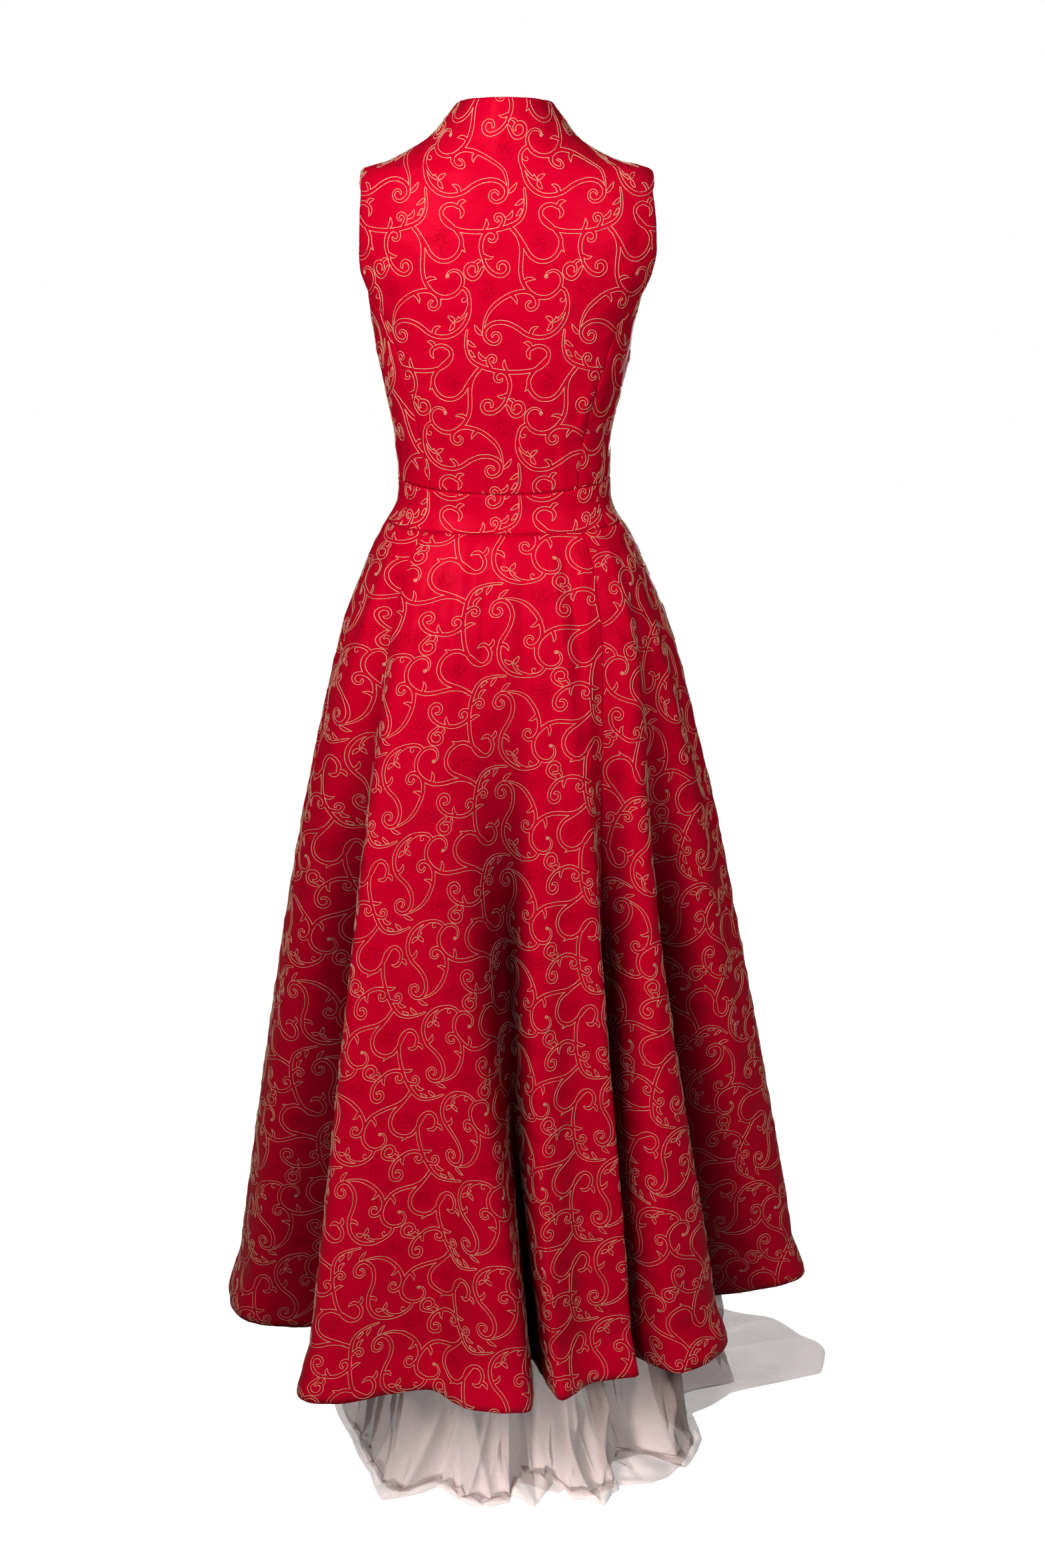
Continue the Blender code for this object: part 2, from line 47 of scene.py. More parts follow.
torsoForm = {
    "columns": ("height", "half", "shift", "behind", "ahead", "square", "forward"),
    "rings": (
        (-0.0250, 0.1440, 0.0005, 0.0985, 0.1020, 0.20, 0.000),
        (-0.0100, 0.1345, 0.0005, 0.0910, 0.0945, 0.20, 0.000),
        (0.0050, 0.1295, 0.0005, 0.0875, 0.0910, 0.20, 0.000),
        (0.0220, 0.1280, 0.0005, 0.0870, 0.0920, 0.20, 0.000),
        (0.0500, 0.1285, 0.0000, 0.0885, 0.0960, 0.20, 0.000),
        (0.0800, 0.1300, -0.0010, 0.0920, 0.1030, 0.22, 0.000),
        (0.1120, 0.1360, -0.0010, 0.0960, 0.1120, 0.24, 0.000),
        (0.1440, 0.1430, -0.0005, 0.1000, 0.1200, 0.25, 0.000),
        (0.1750, 0.1495, 0.0000, 0.1030, 0.1250, 0.25, 0.000),
        (0.2060, 0.1535, 0.0000, 0.1055, 0.1260, 0.25, 0.000),
        (0.2370, 0.1640, 0.0020, 0.1065, 0.1210, 0.25, 0.000),
        (0.2700, 0.1780, 0.0045, 0.1060, 0.1120, 0.25, 0.000),
        (0.3130, 0.1900, 0.0060, 0.1020, 0.0980, 0.22, 0.002),
        (0.3575, 0.1850, 0.0050, 0.0930, 0.0800, 0.18, 0.006),
        (0.3850, 0.1655, 0.0045, 0.0850, 0.0660, 0.12, 0.010),
        (0.3940, 0.1330, 0.0020, 0.0820, 0.0600, 0.10, 0.011),
        (0.4020, 0.1145, 0.0000, 0.0790, 0.0560, 0.08, 0.012),
        (0.4176, 0.0885, 0.0005, 0.0740, 0.0500, 0.05, 0.014),
        (0.4400, 0.0685, 0.0020, 0.0690, 0.0470, 0.02, 0.017),
        (0.4570, 0.0555, 0.0025, 0.0650, 0.0450, 0.00, 0.019),
        (0.4640, 0.0515, 0.0025, 0.0640, 0.0440, 0.00, 0.020),
    ),
    "edgeColumns": ("height", "backTurn", "frontTurn"),
    "edges": (
        (0.0220, 43.0, 41.0), (0.0800, 46.5, 41.0), (0.1260, 49.0, 42.0), (0.1740, 53.0, 45.0),
        (0.2085, 58.0, 51.0), (0.2255, 61.5, 57.0), (0.2500, 70.0, 70.0), (0.2700, 70.0, 69.0),
        (0.3130, 63.5, 61.0), (0.3575, 64.5, 63.0), (0.3760, 75.0, 74.0), (0.3850, 90.0, 90.0),
        (0.4700, 90.0, 90.0),
    ),
    "cup": {"across": 0.082, "height": 0.186, "spread": 0.046, "rise": 0.060, "drop": 0.040,
            "depth": 0.017},
    "bandTopCentre": 0.022, "bandTopSide": 0.030, "bandBottom": -0.0225, "bandSeam": 62.0,
    "collarBack": 0.4635, "collarSide": 0.4560, "collarFront": 0.4360,
    "armholeFoot": 0.213, "armholeSeam": 0.250, "footBlend": 0.120, "headBlend": 0.4176,
}

skirtForm = {
    "columns": ("height", "half", "behind", "ahead"),
    "rings": (
        (-0.0225, 0.1425, 0.0970, 0.1010), (-0.0350, 0.1500, 0.1040, 0.1080),
        (-0.0500, 0.1585, 0.1120, 0.1150), (-0.0830, 0.1725, 0.1260, 0.1280),
        (-0.1170, 0.1865, 0.1380, 0.1400), (-0.1510, 0.2005, 0.1480, 0.1500),
        (-0.2200, 0.2215, 0.1640, 0.1670), (-0.2900, 0.2395, 0.1770, 0.1810),
        (-0.3970, 0.2665, 0.1940, 0.2010), (-0.5450, 0.2960, 0.2140, 0.2240),
        (-0.6990, 0.3260, 0.2340, 0.2460), (-0.8580, 0.3555, 0.2540, 0.2670),
        (-1.0240, 0.3850, 0.2740, 0.2880), (-1.1000, 0.3960, 0.2830, 0.2980),
    ),
    "reachColumns": ("turn", "reach"),
    "reach": (
        (-128.0, 0.365), (-104.0, 0.376), (-92.0, 0.375), (-78.0, 0.367), (-66.0, 0.357),
        (-45.0, 0.366), (-38.0, 0.342), (-30.0, 0.292), (-20.0, 0.266), (-9.0, 0.282),
        (4.0, 0.285), (16.0, 0.270), (26.0, 0.256), (35.0, 0.262), (46.0, 0.300), (57.0, 0.318),
        (66.0, 0.322), (84.0, 0.372), (93.0, 0.410), (106.0, 0.402), (122.0, 0.350),
        (141.0, 0.315), (160.0, 0.300), (180.0, 0.298), (200.0, 0.305), (218.0, 0.325),
    ),
    "valleyColumns": ("topTurn", "midTurn", "hemTurn", "depth", "topWidth", "hemWidth", "start"),
    "valleys": (
        (-52.0, -57.0, -60.5, 0.130, 8.0, 9.5, -0.070),
        (-17.0, -12.0, -21.0, 0.012, 5.0, 9.0, -0.040),
        (2.0, -1.0, 10.6, 0.105, 12.0, 2.3, -0.060), (18.0, 20.0, 25.0, 0.008, 5.0, 7.0, -0.040),
        (50.0, 41.0, 42.2, 0.090, 6.0, 2.3, -0.070), (68.0, 64.0, 78.0, 0.125, 8.0, 8.0, -0.090),
        (108.0, 110.0, 114.0, 0.085, 8.0, 5.5, -0.100),
        (130.0, 133.0, 137.0, 0.110, 8.0, 5.0, -0.060),
        (155.0, 156.0, 158.0, 0.075, 9.0, 5.5, -0.090),
        (181.0, 179.0, 180.0, 0.100, 9.0, 5.0, -0.070),
        (206.0, 207.0, 205.0, 0.070, 8.0, 6.0, -0.100),
        (230.0, 230.0, 232.0, 0.115, 8.0, 5.5, -0.060),
        (254.0, 255.0, 256.0, 0.060, 8.0, 7.0, -0.120),
    ),
    "seams": {"leftBack": (-50.0, -53.0, -56.0), "rightBack": (50.0, 41.0, 42.2),
              "rightFront": (130.0, 133.0, 137.0), "leftFront": (230.0, 230.0, 232.0)},
    "hem": -1.100, "midTurnHeight": -0.40, "square": 2.3, "swell": 0.7, "bandBlend": 0.110,
    "valleyShape": 2.2, "widensFrom": 0.10, "widensTo": 0.95, "kick": 0.012, "kickFrom": -1.035,
}

netForm = {
    "hangColumns": ("turn", "reach"),
    "hang": (
        (-140.0, 0.215), (-98.0, 0.205), (-63.0, 0.200), (-44.0, 0.222), (-32.0, 0.242),
        (-22.0, 0.200), (-8.0, 0.225), (6.0, 0.212), (26.0, 0.235), (50.0, 0.262), (70.0, 0.250),
        (88.0, 0.290), (102.0, 0.285), (120.0, 0.245), (150.0, 0.222), (190.0, 0.212),
    ),
    "floorColumns": ("turn", "upper", "under"),
    "floor": (
        (-140.0, 0.250, 0.225), (-120.0, 0.242, 0.232), (-98.0, 0.240, 0.222),
        (-78.0, 0.246, 0.215), (-63.0, 0.242, 0.226), (-53.0, 0.235, 0.245), (-44.0, 0.262, 0.232),
        (-32.0, 0.303, 0.215), (-24.0, 0.266, 0.222), (-18.0, 0.222, 0.246), (-8.0, 0.258, 0.226),
        (0.0, 0.241, 0.212), (8.0, 0.272, 0.224), (16.0, 0.230, 0.250), (26.0, 0.296, 0.228),
        (33.0, 0.268, 0.240), (40.0, 0.300, 0.226), (50.0, 0.301, 0.244), (64.0, 0.297, 0.232),
        (74.0, 0.268, 0.262), (84.0, 0.320, 0.246), (92.0, 0.450, 0.252), (98.0, 0.468, 0.276),
        (106.0, 0.441, 0.262), (117.0, 0.380, 0.280), (132.0, 0.290, 0.262), (150.0, 0.262, 0.246),
        (170.0, 0.272, 0.232), (190.0, 0.250, 0.240), (205.0, 0.262, 0.228),
    ),
    "rows": (-0.024, -0.060, -0.150, -0.400, -0.740, -1.060), "floorHeight": -1.268,
    "wall": 0.0010, "clear": 0.014, "window": 7.0, "freeBy": 0.120, "landing": 0.030,
    "hangShape": 0.5, "fallShape": 1.6, "dropShape": 1.3, "layerGap": 0.010,
    "cloth": 0.0015, "between": 0.0006,     # the skirt's wall, and the air between layers
    "underLayer": 0.0004,   # the air under each layer where it lies on the floor
    "mesh": 0.0007,     # the net's own thickness
    "ripple": 0.0016, "swing": 0.020,   # soft folds above, and how far they grow lower down
    "rumple": 0.008,    # how high the net stands up in rumples on the floor
    "foldShift": 5,     # degrees that the lower layer's folds lie further round
    "columnPull": 30,   # degrees that the columns are drawn towards the back
}


def smoothTable(knots, values, at):
    # cubic curve through a table's values that never swings past them
    knots = np.asarray(knots, float)
    values = np.asarray(values, float)
    at = np.clip(np.asarray(at, float), knots[0], knots[-1])
    step = np.diff(knots)
    slope = np.diff(values) / step
    bend = np.zeros_like(values)
    bend[0] = slope[0]
    bend[-1] = slope[-1]
    before = slope[:-1]
    after = slope[1:]
    rising = before * after > 0
    bend[1:-1][rising] = 2 * before[rising] * after[rising] / (before[rising] + after[rising])
    cell = np.clip(np.searchsorted(knots, at, side="right") - 1, 0, len(step) - 1)
    part = (at - knots[cell]) / step[cell]
    low = values[cell]
    change = values[cell + 1] - low
    lowBend = bend[cell] * step[cell]
    highBend = bend[cell + 1] * step[cell]
    return low + part * (lowBend + part * (3 * change - 2 * lowBend - highBend
                                           + part * (lowBend + highBend - 2 * change)))


def wrapTurn(turn):
    return (np.asarray(turn, float) + 180) % 360 - 180


def runLength(points, axis=0):
    # how far along a line, or along one way of a grid, each point lies
    steps = np.linalg.norm(np.diff(points, axis=axis), axis=-1)
    start = np.zeros_like(np.take(steps, [0], axis=axis))
    return np.concatenate((start, np.cumsum(steps, axis=axis)), axis=axis)


def column(table, names, name):
    return np.array([row[names.index(name)] for row in table])


def readTable(table, names, name, at):
    places = column(table, names, names[0])
    values = column(table, names, name)
    if places[0] > places[-1]:
        places = places[::-1]
        values = values[::-1]
    return smoothTable(places, values, at)


def roundTable(table, names, name, turn, smooth=True):
    # a table that runs once round the body, read on a curve or straight between its rows
    places = column(table, names, names[0])
    places = np.concatenate((places - 360, places, places + 360))
    values = np.tile(column(table, names, name), 3)
    if smooth:
        return smoothTable(places, values, wrapTurn(turn))
    return np.interp(wrapTurn(turn), places, values)


def ease(low, high, at):
    part = np.clip((np.asarray(at, float) - low) / (high - low), 0, 1)
    return part * part * (3 - 2 * part)


def bandTop(turn):
    centre = torsoForm["bandTopCentre"]
    return centre + np.sin(np.radians(turn)) ** 2 * (torsoForm["bandTopSide"] - centre)


def collarTop(turn):
    facing = np.cos(np.radians(turn))
    side = torsoForm["collarSide"]
    toFront = np.clip(-facing, 0, 1) ** 1.5 * (torsoForm["collarFront"] - side)
    toBack = np.clip(facing, 0, 1) ** 0.8 * (torsoForm["collarBack"] - side)
    return side + toFront + toBack


def torsoPoint(turn, height):
    def ring(name):
        return readTable(torsoForm["rings"], torsoForm["columns"], name, height)

    cup = torsoForm["cup"]
    angle = np.radians(turn)
    across = np.sin(angle)
    facing = np.cos(angle)
    depth = np.where(facing > 0, ring("behind") + ring("forward"), ring("ahead"))
    x = ring("shift") + ring("half") * across
    y = ring("forward") - depth * facing * (1 + ring("square") * across ** 2)
    rise = np.where(height > cup["height"], cup["rise"], cup["drop"])
    mound = np.exp(-((np.abs(x) - cup["across"]) / cup["spread"]) ** 2
                   - ((height - cup["height"]) / rise) ** 2)
    y = y + np.where(facing < 0, cup["depth"] * mound * np.clip(-facing * 2, 0, 1), 0)
    return np.stack([x, y, np.broadcast_to(height, x.shape)], axis=-1)


def along(values, height):
    # a line's turn at a height, from its turns near the waist, a third down and at the hem
    return smoothTable((skirtForm["hem"], skirtForm["midTurnHeight"], 0.0), values[::-1], height)


def plainReach(turn, height):
    def ring(name):
        return readTable(skirtForm["rings"], skirtForm["columns"], name, height)

    angle = np.radians(turn)
    across = np.abs(np.sin(angle))
    facing = np.cos(angle)
    depth = np.where(facing > 0, ring("behind"), ring("ahead"))
    power = skirtForm["square"]
    return ((across / ring("half")) ** power + (np.abs(facing) / depth) ** power) ** (-1 / power)


def bandReach(turn):
    # how far out the waistband's lower edge is, by the skirt's turns
    line = torsoPoint(np.linspace(-180, 180, 361), np.full(361, torsoForm["bandBottom"]))
    turns = np.degrees(np.arctan2(line[:, 0], -line[:, 1]))
    order = np.argsort(turns)
    reach = np.hypot(line[:, 0], line[:, 1])
    return np.interp(turn, turns[order], reach[order], period=360)


def dropShare(height):
    # how far down the skirt a height is, from 0 at the waistband to 1 at the hem
    top = torsoForm["bandBottom"]
    return np.clip((top - height) / (top - skirtForm["hem"]), 0, 1)


def valleysAt(turn, height):
    # each valley with how far from its middle a place is and how wide it is there, in degrees
    widened = ease(skirtForm["widensFrom"], skirtForm["widensTo"], dropShare(height))
    for row in skirtForm["valleys"]:
        valley = dict(zip(skirtForm["valleyColumns"], row))
        middle = along((valley["topTurn"], valley["midTurn"], valley["hemTurn"]), height)
        width = valley["topWidth"] + (valley["hemWidth"] - valley["topWidth"]) * widened
        yield valley, wrapTurn(turn - middle), width


def skirtReach(turn, height):
    turn = np.asarray(turn, float)
    height = np.asarray(height, float)
    top = torsoForm["bandBottom"]
    hem = skirtForm["hem"]
    grown = dropShare(height)
    wanted = roundTable(skirtForm["reach"], skirtForm["reachColumns"], "reach", turn)
    swell = wanted / plainReach(turn, hem) - 1
    reach = plainReach(turn, height) * (1 + swell * grown ** skirtForm["swell"])
    joined = np.clip(1 - (top - height) / skirtForm["bandBlend"], 0, 1) ** 2
    reach = reach + (bandReach(turn) - plainReach(turn, top)) * joined
    for valley, away, width in valleysAt(turn, height):
        growth = np.clip((valley["start"] - height) / (valley["start"] - hem), 0, 1)
        shape = np.exp(-np.abs(away / width) ** skirtForm["valleyShape"])
        reach = reach - valley["depth"] * growth * shape
    return reach + skirtForm["kick"] * ease(skirtForm["kickFrom"], hem, height)


# The painted fold shade: cloth in the valleys is painted darker, as if shaded from a light on the
# left.
shading = {  # the valleys are darkest beside their right-hand edges, and fade to the left
    "grows": (0.04, 0.50),      # metres below a valley's start where it begins and is full
    "fullDepth": 0.09, "offset": 0.25, "narrowest": 2.8,
    "slow": 1.6, "slowBefore": 30, "plain": 0.9, "quick": 0.75,     # widths of the fading
    "softEdge": 1.7, "hardEdge": 3.5,
}


def foldShade(turn, height):
    # painted shade by how deep in a fold the cloth lies, from 0 on the flutes to 1 at a valley's
    # foot
    total = 0
    for valley, away, width in valleysAt(turn, height):
        begins, full = (valley["start"] - drop for drop in shading["grows"])
        growth = ease(begins, full, height)
        strength = np.clip(valley["depth"] / shading["fullDepth"], 0, 1) ** 1.5
        away = away - shading["offset"] * width
        left = away < 0
        slow = shading["slow"] if valley["hemTurn"] < shading["slowBefore"] else shading["plain"]
        spread = np.maximum(width, shading["narrowest"]) * np.where(left, slow, shading["quick"])
        fade = (np.abs(away) / spread) ** np.where(left, shading["softEdge"], shading["hardEdge"])
        total = total + strength * growth * np.exp(-fade)
    return np.clip(total, 0, 1)


def skirtPoint(turn, height):
    reach = skirtReach(turn, height)
    angle = np.radians(turn)
    return np.stack([reach * np.sin(angle), -reach * np.cos(angle),
                     np.broadcast_to(height, reach.shape)], axis=-1)


def clothLine(start, end, height):
    # fine turns along the skirt at one height, with the length of cloth up to each
    fine = np.linspace(start, end, 900)
    return fine, runLength(skirtPoint(fine, np.full(fine.shape, height)))


def evenTurns(start, end, count, height):
    fine, length = clothLine(start, end, height)
    return np.interp(np.linspace(0, length[-1], count), length, fine)


def outward(grid):
    # directions straight out of the cloth at a grid's points
    way = np.cross(np.gradient(grid, axis=1), np.gradient(grid, axis=0))
    return way / np.linalg.norm(way, axis=-1, keepdims=True)


def fromSrgb(code):
    # a hex colour as the linear values that a shader takes
    parts = [int(code[i:i + 2], 16) / 255 for i in (1, 3, 5)]
    return (*[p / 12.92 if p <= 0.04045 else ((p + 0.055) / 1.055) ** 2.4 for p in parts], 1)


def addNode(tree, kind, inputs=(), **settings):
    # One node with its settings. Its inputs, by name or in order, are set, or linked to a socket
    # or to the first output of a node.
    node = tree.nodes.new(kind)
    for name, value in settings.items():
        setattr(node, name, value)
    for name, value in inputs.items() if isinstance(inputs, dict) else enumerate(inputs):
        if isinstance(value, bpy.types.Node):
            value = value.outputs[0]
        if isinstance(value, bpy.types.NodeSocket):
            tree.links.new(value, node.inputs[name])
        else:
            node.inputs[name].default_value = value
    return node


def addObject(name, data):
    thing = bpy.data.objects.new(name, data)
    bpy.context.scene.collection.objects.link(thing)
    return thing


def growMesh(name, start, tree, values):
    # what a node tree makes of a mesh, as a plain mesh
    maker = addObject(name, start)
    modifier = maker.modifiers.new(tree.name, "NODES")
    modifier.node_group = tree
    for item in tree.interface.items_tree:
        if item.item_type == "SOCKET" and item.in_out == "INPUT" and item.name in values:
            modifier[item.identifier] = values[item.name]
    bpy.context.view_layer.update()
    mesh = bpy.data.meshes.new_from_object(
        maker.evaluated_get(bpy.context.evaluated_depsgraph_get()))
    bpy.data.objects.remove(maker, do_unlink=True)
    return mesh


def startTree(name, *wanted):
    # a geometry tree and its inputs, each with a name, a kind of socket and a default
    tree = bpy.data.node_groups.new(name, "GeometryNodeTree")
    for label, kind, default in (("Geometry", "Geometry", None), *wanted):
        socket = tree.interface.new_socket(label, in_out="INPUT", socket_type="NodeSocket" + kind)
        if default is not None:
            socket.default_value = default
    tree.interface.new_socket("Geometry", in_out="OUTPUT", socket_type="NodeSocketGeometry")
    return tree, addNode(tree, "NodeGroupInput").outputs


def startMaterial(name, **sockets):
    # a material with its shader's constants set
    material = bpy.data.materials.new(name)
    material.use_nodes = True
    shader = material.node_tree.nodes["Principled BSDF"]
    for socket, value in sockets.items():
        shader.inputs[socket.replace("_", " ")].default_value = value
    material.diffuse_color = tuple(shader.inputs["Base Color"].default_value)
    return material, material.node_tree, shader


# The pattern's repeat in the cloth's own map, in metres: each row is above the last and mirrored.
pattern = {
    "across": 0.124, "row": 0.1732, "mirror": 0.07015,
    "threadWidth": 0.00072, "threadHeight": 0.0005,
    "scale": 0.898,     # metres on the cloth for a metre of the pattern
    "mapSpan": 4.0,     # metres that one whole UV square stands for
    "reach": (0.13, 0.13, 0.09, 0.11),  # of a repeat from its middle: left, right, down, up
    "sprays": ((-0.0165, -0.015), (0.048, -0.073)), "sprayHalf": (0.011, 0.017),
}


def clothMap(tree):
    # the cloth's own map in metres
    uv = addNode(tree, "ShaderNodeUVMap", uv_map="clothMap")
    moved = addNode(tree, "ShaderNodeVectorMath", (uv, (-0.5, -0.5, 0)), operation="ADD")
    span = pattern["mapSpan"]
    return addNode(tree, "ShaderNodeVectorMath", (moved, (span, span, 0)), operation="MULTIPLY")


def sprayMask(tree, place):
    # 1 in the middle of each woven spray, 0 outside them
    across = pattern["across"]
    row = pattern["row"]
    half = pattern["sprayHalf"]
    spots = list(pattern["sprays"])
    spots += [(pattern["mirror"] - x, row + y) for x, y in pattern["sprays"]]
    total = None
    for x, y in spots:
        shifted = addNode(tree, "ShaderNodeVectorMath", (place, (across / 2 - x, row - y, 0)),
                          operation="ADD")
        wrapped = addNode(tree, "ShaderNodeVectorMath", (shifted, (across, 2 * row, 1), (0, 0, 0)),
                          operation="WRAP")
        centred = addNode(tree, "ShaderNodeVectorMath", (wrapped, (across / 2, row, 0)),
                          operation="SUBTRACT")
        sized = addNode(tree, "ShaderNodeVectorMath", (centred, (1 / half[0], 1 / half[1], 0)),
                        operation="MULTIPLY")
        length = addNode(tree, "ShaderNodeVectorMath", (sized,),
                         operation="LENGTH").outputs["Value"]
        near = addNode(tree, "ShaderNodeMapRange",
                       {"Value": length, "From Min": 1.15, "From Max": 0.55})
        total = near if total is None else addNode(tree, "ShaderNodeMath", (total, near),
                                                   operation="MAXIMUM")
    return total


def mixPaintedShade(tree, colour, paintedShadeColour):
    # painted shade: the colour mixed towards a dark shade colour where cloth lies deep between two
    # flutes, where little light gets in
    shade = addNode(tree, "ShaderNodeAttribute", attribute_name="foldShade",
                    attribute_type="GEOMETRY").outputs["Fac"]
    shade = addNode(tree, "ShaderNodeMath", (shade, 0.96), operation="MULTIPLY")
    return addNode(tree, "ShaderNodeMix", {0: shade, 6: colour, 7: fromSrgb(paintedShadeColour)},
                   data_type="RGBA", blend_type="MIX").outputs[2]


def makeJacquard():
    # Polyester satin jacquard, woven and pressed: a deep even red with a soft satin gloss,
    # faint weft slubs, and small sprays woven tone on tone that catch the light differently
    look = {"red": "#D8002B", "dark": "#B8001F", "roughness": 0.40, "sprayGloss": 0.30,
            "slub": 0.0045, "slubLength": 0.060, "petal": 0.0042, "thread": 0.0009,
            "coarse": 6.3, "paintedShadeColour": "#240004"}
    material, tree, shader = startMaterial(
        "red satin jacquard", Base_Color=fromSrgb(look["red"]), Roughness=look["roughness"],
        Sheen_Weight=0.04, Sheen_Roughness=0.35, Specular_IOR_Level=0.30)
    shader.inputs["Sheen Tint"].default_value = fromSrgb("#FF2038")
    shader.inputs["Specular Tint"].default_value = fromSrgb("#FF3048")
    place = clothMap(tree)
    mask = sprayMask(tree, place)
    cells = addNode(tree, "ShaderNodeTexVoronoi", {"Vector": place, "Scale": 1 / look["petal"]},
                    feature="F1", voronoi_dimensions="2D").outputs["Distance"]
    petals = addNode(tree, "ShaderNodeMapRange",
                     {"Value": cells, "From Min": 0.52, "From Max": 0.30})
    spray = addNode(tree, "ShaderNodeMath", (mask, petals), operation="MULTIPLY")
    stretched = addNode(tree, "ShaderNodeVectorMath",
                        (place, (1 / look["slubLength"], 1 / look["slub"], 1)),
                        operation="MULTIPLY")
    slub = addNode(tree, "ShaderNodeTexNoise", {"Vector": stretched, "Scale": 1.0, "Detail": 2.0},
                   noise_dimensions="2D")
    slubTone = addNode(tree, "ShaderNodeMapRange",
                       {"Value": slub, "From Min": 0.3, "From Max": 0.7, "To Min": 0.0,
                        "To Max": 0.16})
    sprayTone = addNode(tree, "ShaderNodeMath", (spray, 0.62), operation="MULTIPLY")
    darker = addNode(tree, "ShaderNodeMath", (slubTone, sprayTone), operation="ADD")
    colour = addNode(tree, "ShaderNodeMix",
                     {0: darker, 6: fromSrgb(look["red"]), 7: fromSrgb(look["dark"])},
                     data_type="RGBA", blend_type="MIX").outputs[2]
    # painted shade: the red is darkened to near black in the skirt's valleys
    tree.links.new(mixPaintedShade(tree, colour, look["paintedShadeColour"]), shader.inputs["Base Color"])
    gloss = addNode(tree, "ShaderNodeMapRange",
                    {"Value": spray, "To Min": look["roughness"],
                     "To Max": look["sprayGloss"]}).outputs[0]
    tree.links.new(gloss, shader.inputs["Roughness"])
    # the satin's twill, drawn three times as coarse as it is so that it shows
    waves = addNode(tree, "ShaderNodeTexWave",
                    {"Vector": place, "Scale": 1 / look["thread"] / look["coarse"],
                     "Distortion": 1.5, "Detail": 1.0, "Detail Scale": 2.0}, wave_type="BANDS",
                    bands_direction="DIAGONAL").outputs["Fac"]
    sprayRelief = addNode(tree, "ShaderNodeMath", (spray, 1.2), operation="MULTIPLY")
    twill = addNode(tree, "ShaderNodeMath", (waves, 0.25), operation="MULTIPLY")
    relief = addNode(tree, "ShaderNodeMath",
                     (twill, addNode(tree, "ShaderNodeMath", (slub, sprayRelief), operation="ADD")),
                     operation="ADD")
    bump = addNode(tree, "ShaderNodeBump",
                   {"Height": relief, "Strength": 0.35, "Distance": 0.0004}).outputs[0]
    tree.links.new(bump, shader.inputs["Normal"])
    return material


def makeGold():
    # Twisted metallic embroidery thread: pale peach gold, satin, ridged across by its twist.
    # The twist is drawn twice as coarse as it is so that it shows.
    look = {"gold": "#F6CBA4", "shade": "#C48C66", "twist": 0.0016, "mottle": 180.0,
            "paintedShadeColour": "#3A120A"}
    material, tree, shader = startMaterial(
        "gold embroidery thread", Base_Color=fromSrgb(look["gold"]), Roughness=0.42,
        Metallic=0.15, Sheen_Weight=0.2)
    run = addNode(tree, "ShaderNodeAttribute", attribute_name="threadRun",
                  attribute_type="GEOMETRY").outputs["Fac"]
    angle = addNode(tree, "ShaderNodeMath", (run, 2 * np.pi / look["twist"]), operation="MULTIPLY")
    turns = addNode(tree, "ShaderNodeMath", (angle,), operation="SINE")
    mottle = addNode(tree, "ShaderNodeTexNoise",
                     {"W": addNode(tree, "ShaderNodeMath", (run, look["mottle"]),
                                   operation="MULTIPLY"), "Scale": 1.0}, noise_dimensions="1D")
    faint = addNode(tree, "ShaderNodeMath", (turns, 0.25), operation="MULTIPLY")
    # painted shade in the twist's grooves, where its wave is low, together with a random mottle
    # along the thread
    shade = addNode(tree, "ShaderNodeMapRange",
                    {"Value": addNode(tree, "ShaderNodeMath", (faint, mottle), operation="ADD"),
                     "From Min": 0.25, "From Max": 0.85, "To Min": 0.55, "To Max": 0.0})
    colour = addNode(tree, "ShaderNodeMix",
                     {0: shade, 6: fromSrgb(look["gold"]), 7: fromSrgb(look["shade"])},
                     data_type="RGBA", blend_type="MIX").outputs[2]
    # painted shade: the thread darkens in the skirt's valleys, by the fold shade taken from the
    # cloth below it
    tree.links.new(mixPaintedShade(tree, colour, look["paintedShadeColour"]), shader.inputs["Base Color"])
    bump = addNode(tree, "ShaderNodeBump",
                   {"Height": turns, "Strength": 0.4, "Distance": 0.0003}).outputs[0]
    tree.links.new(bump, shader.inputs["Normal"])
    return material


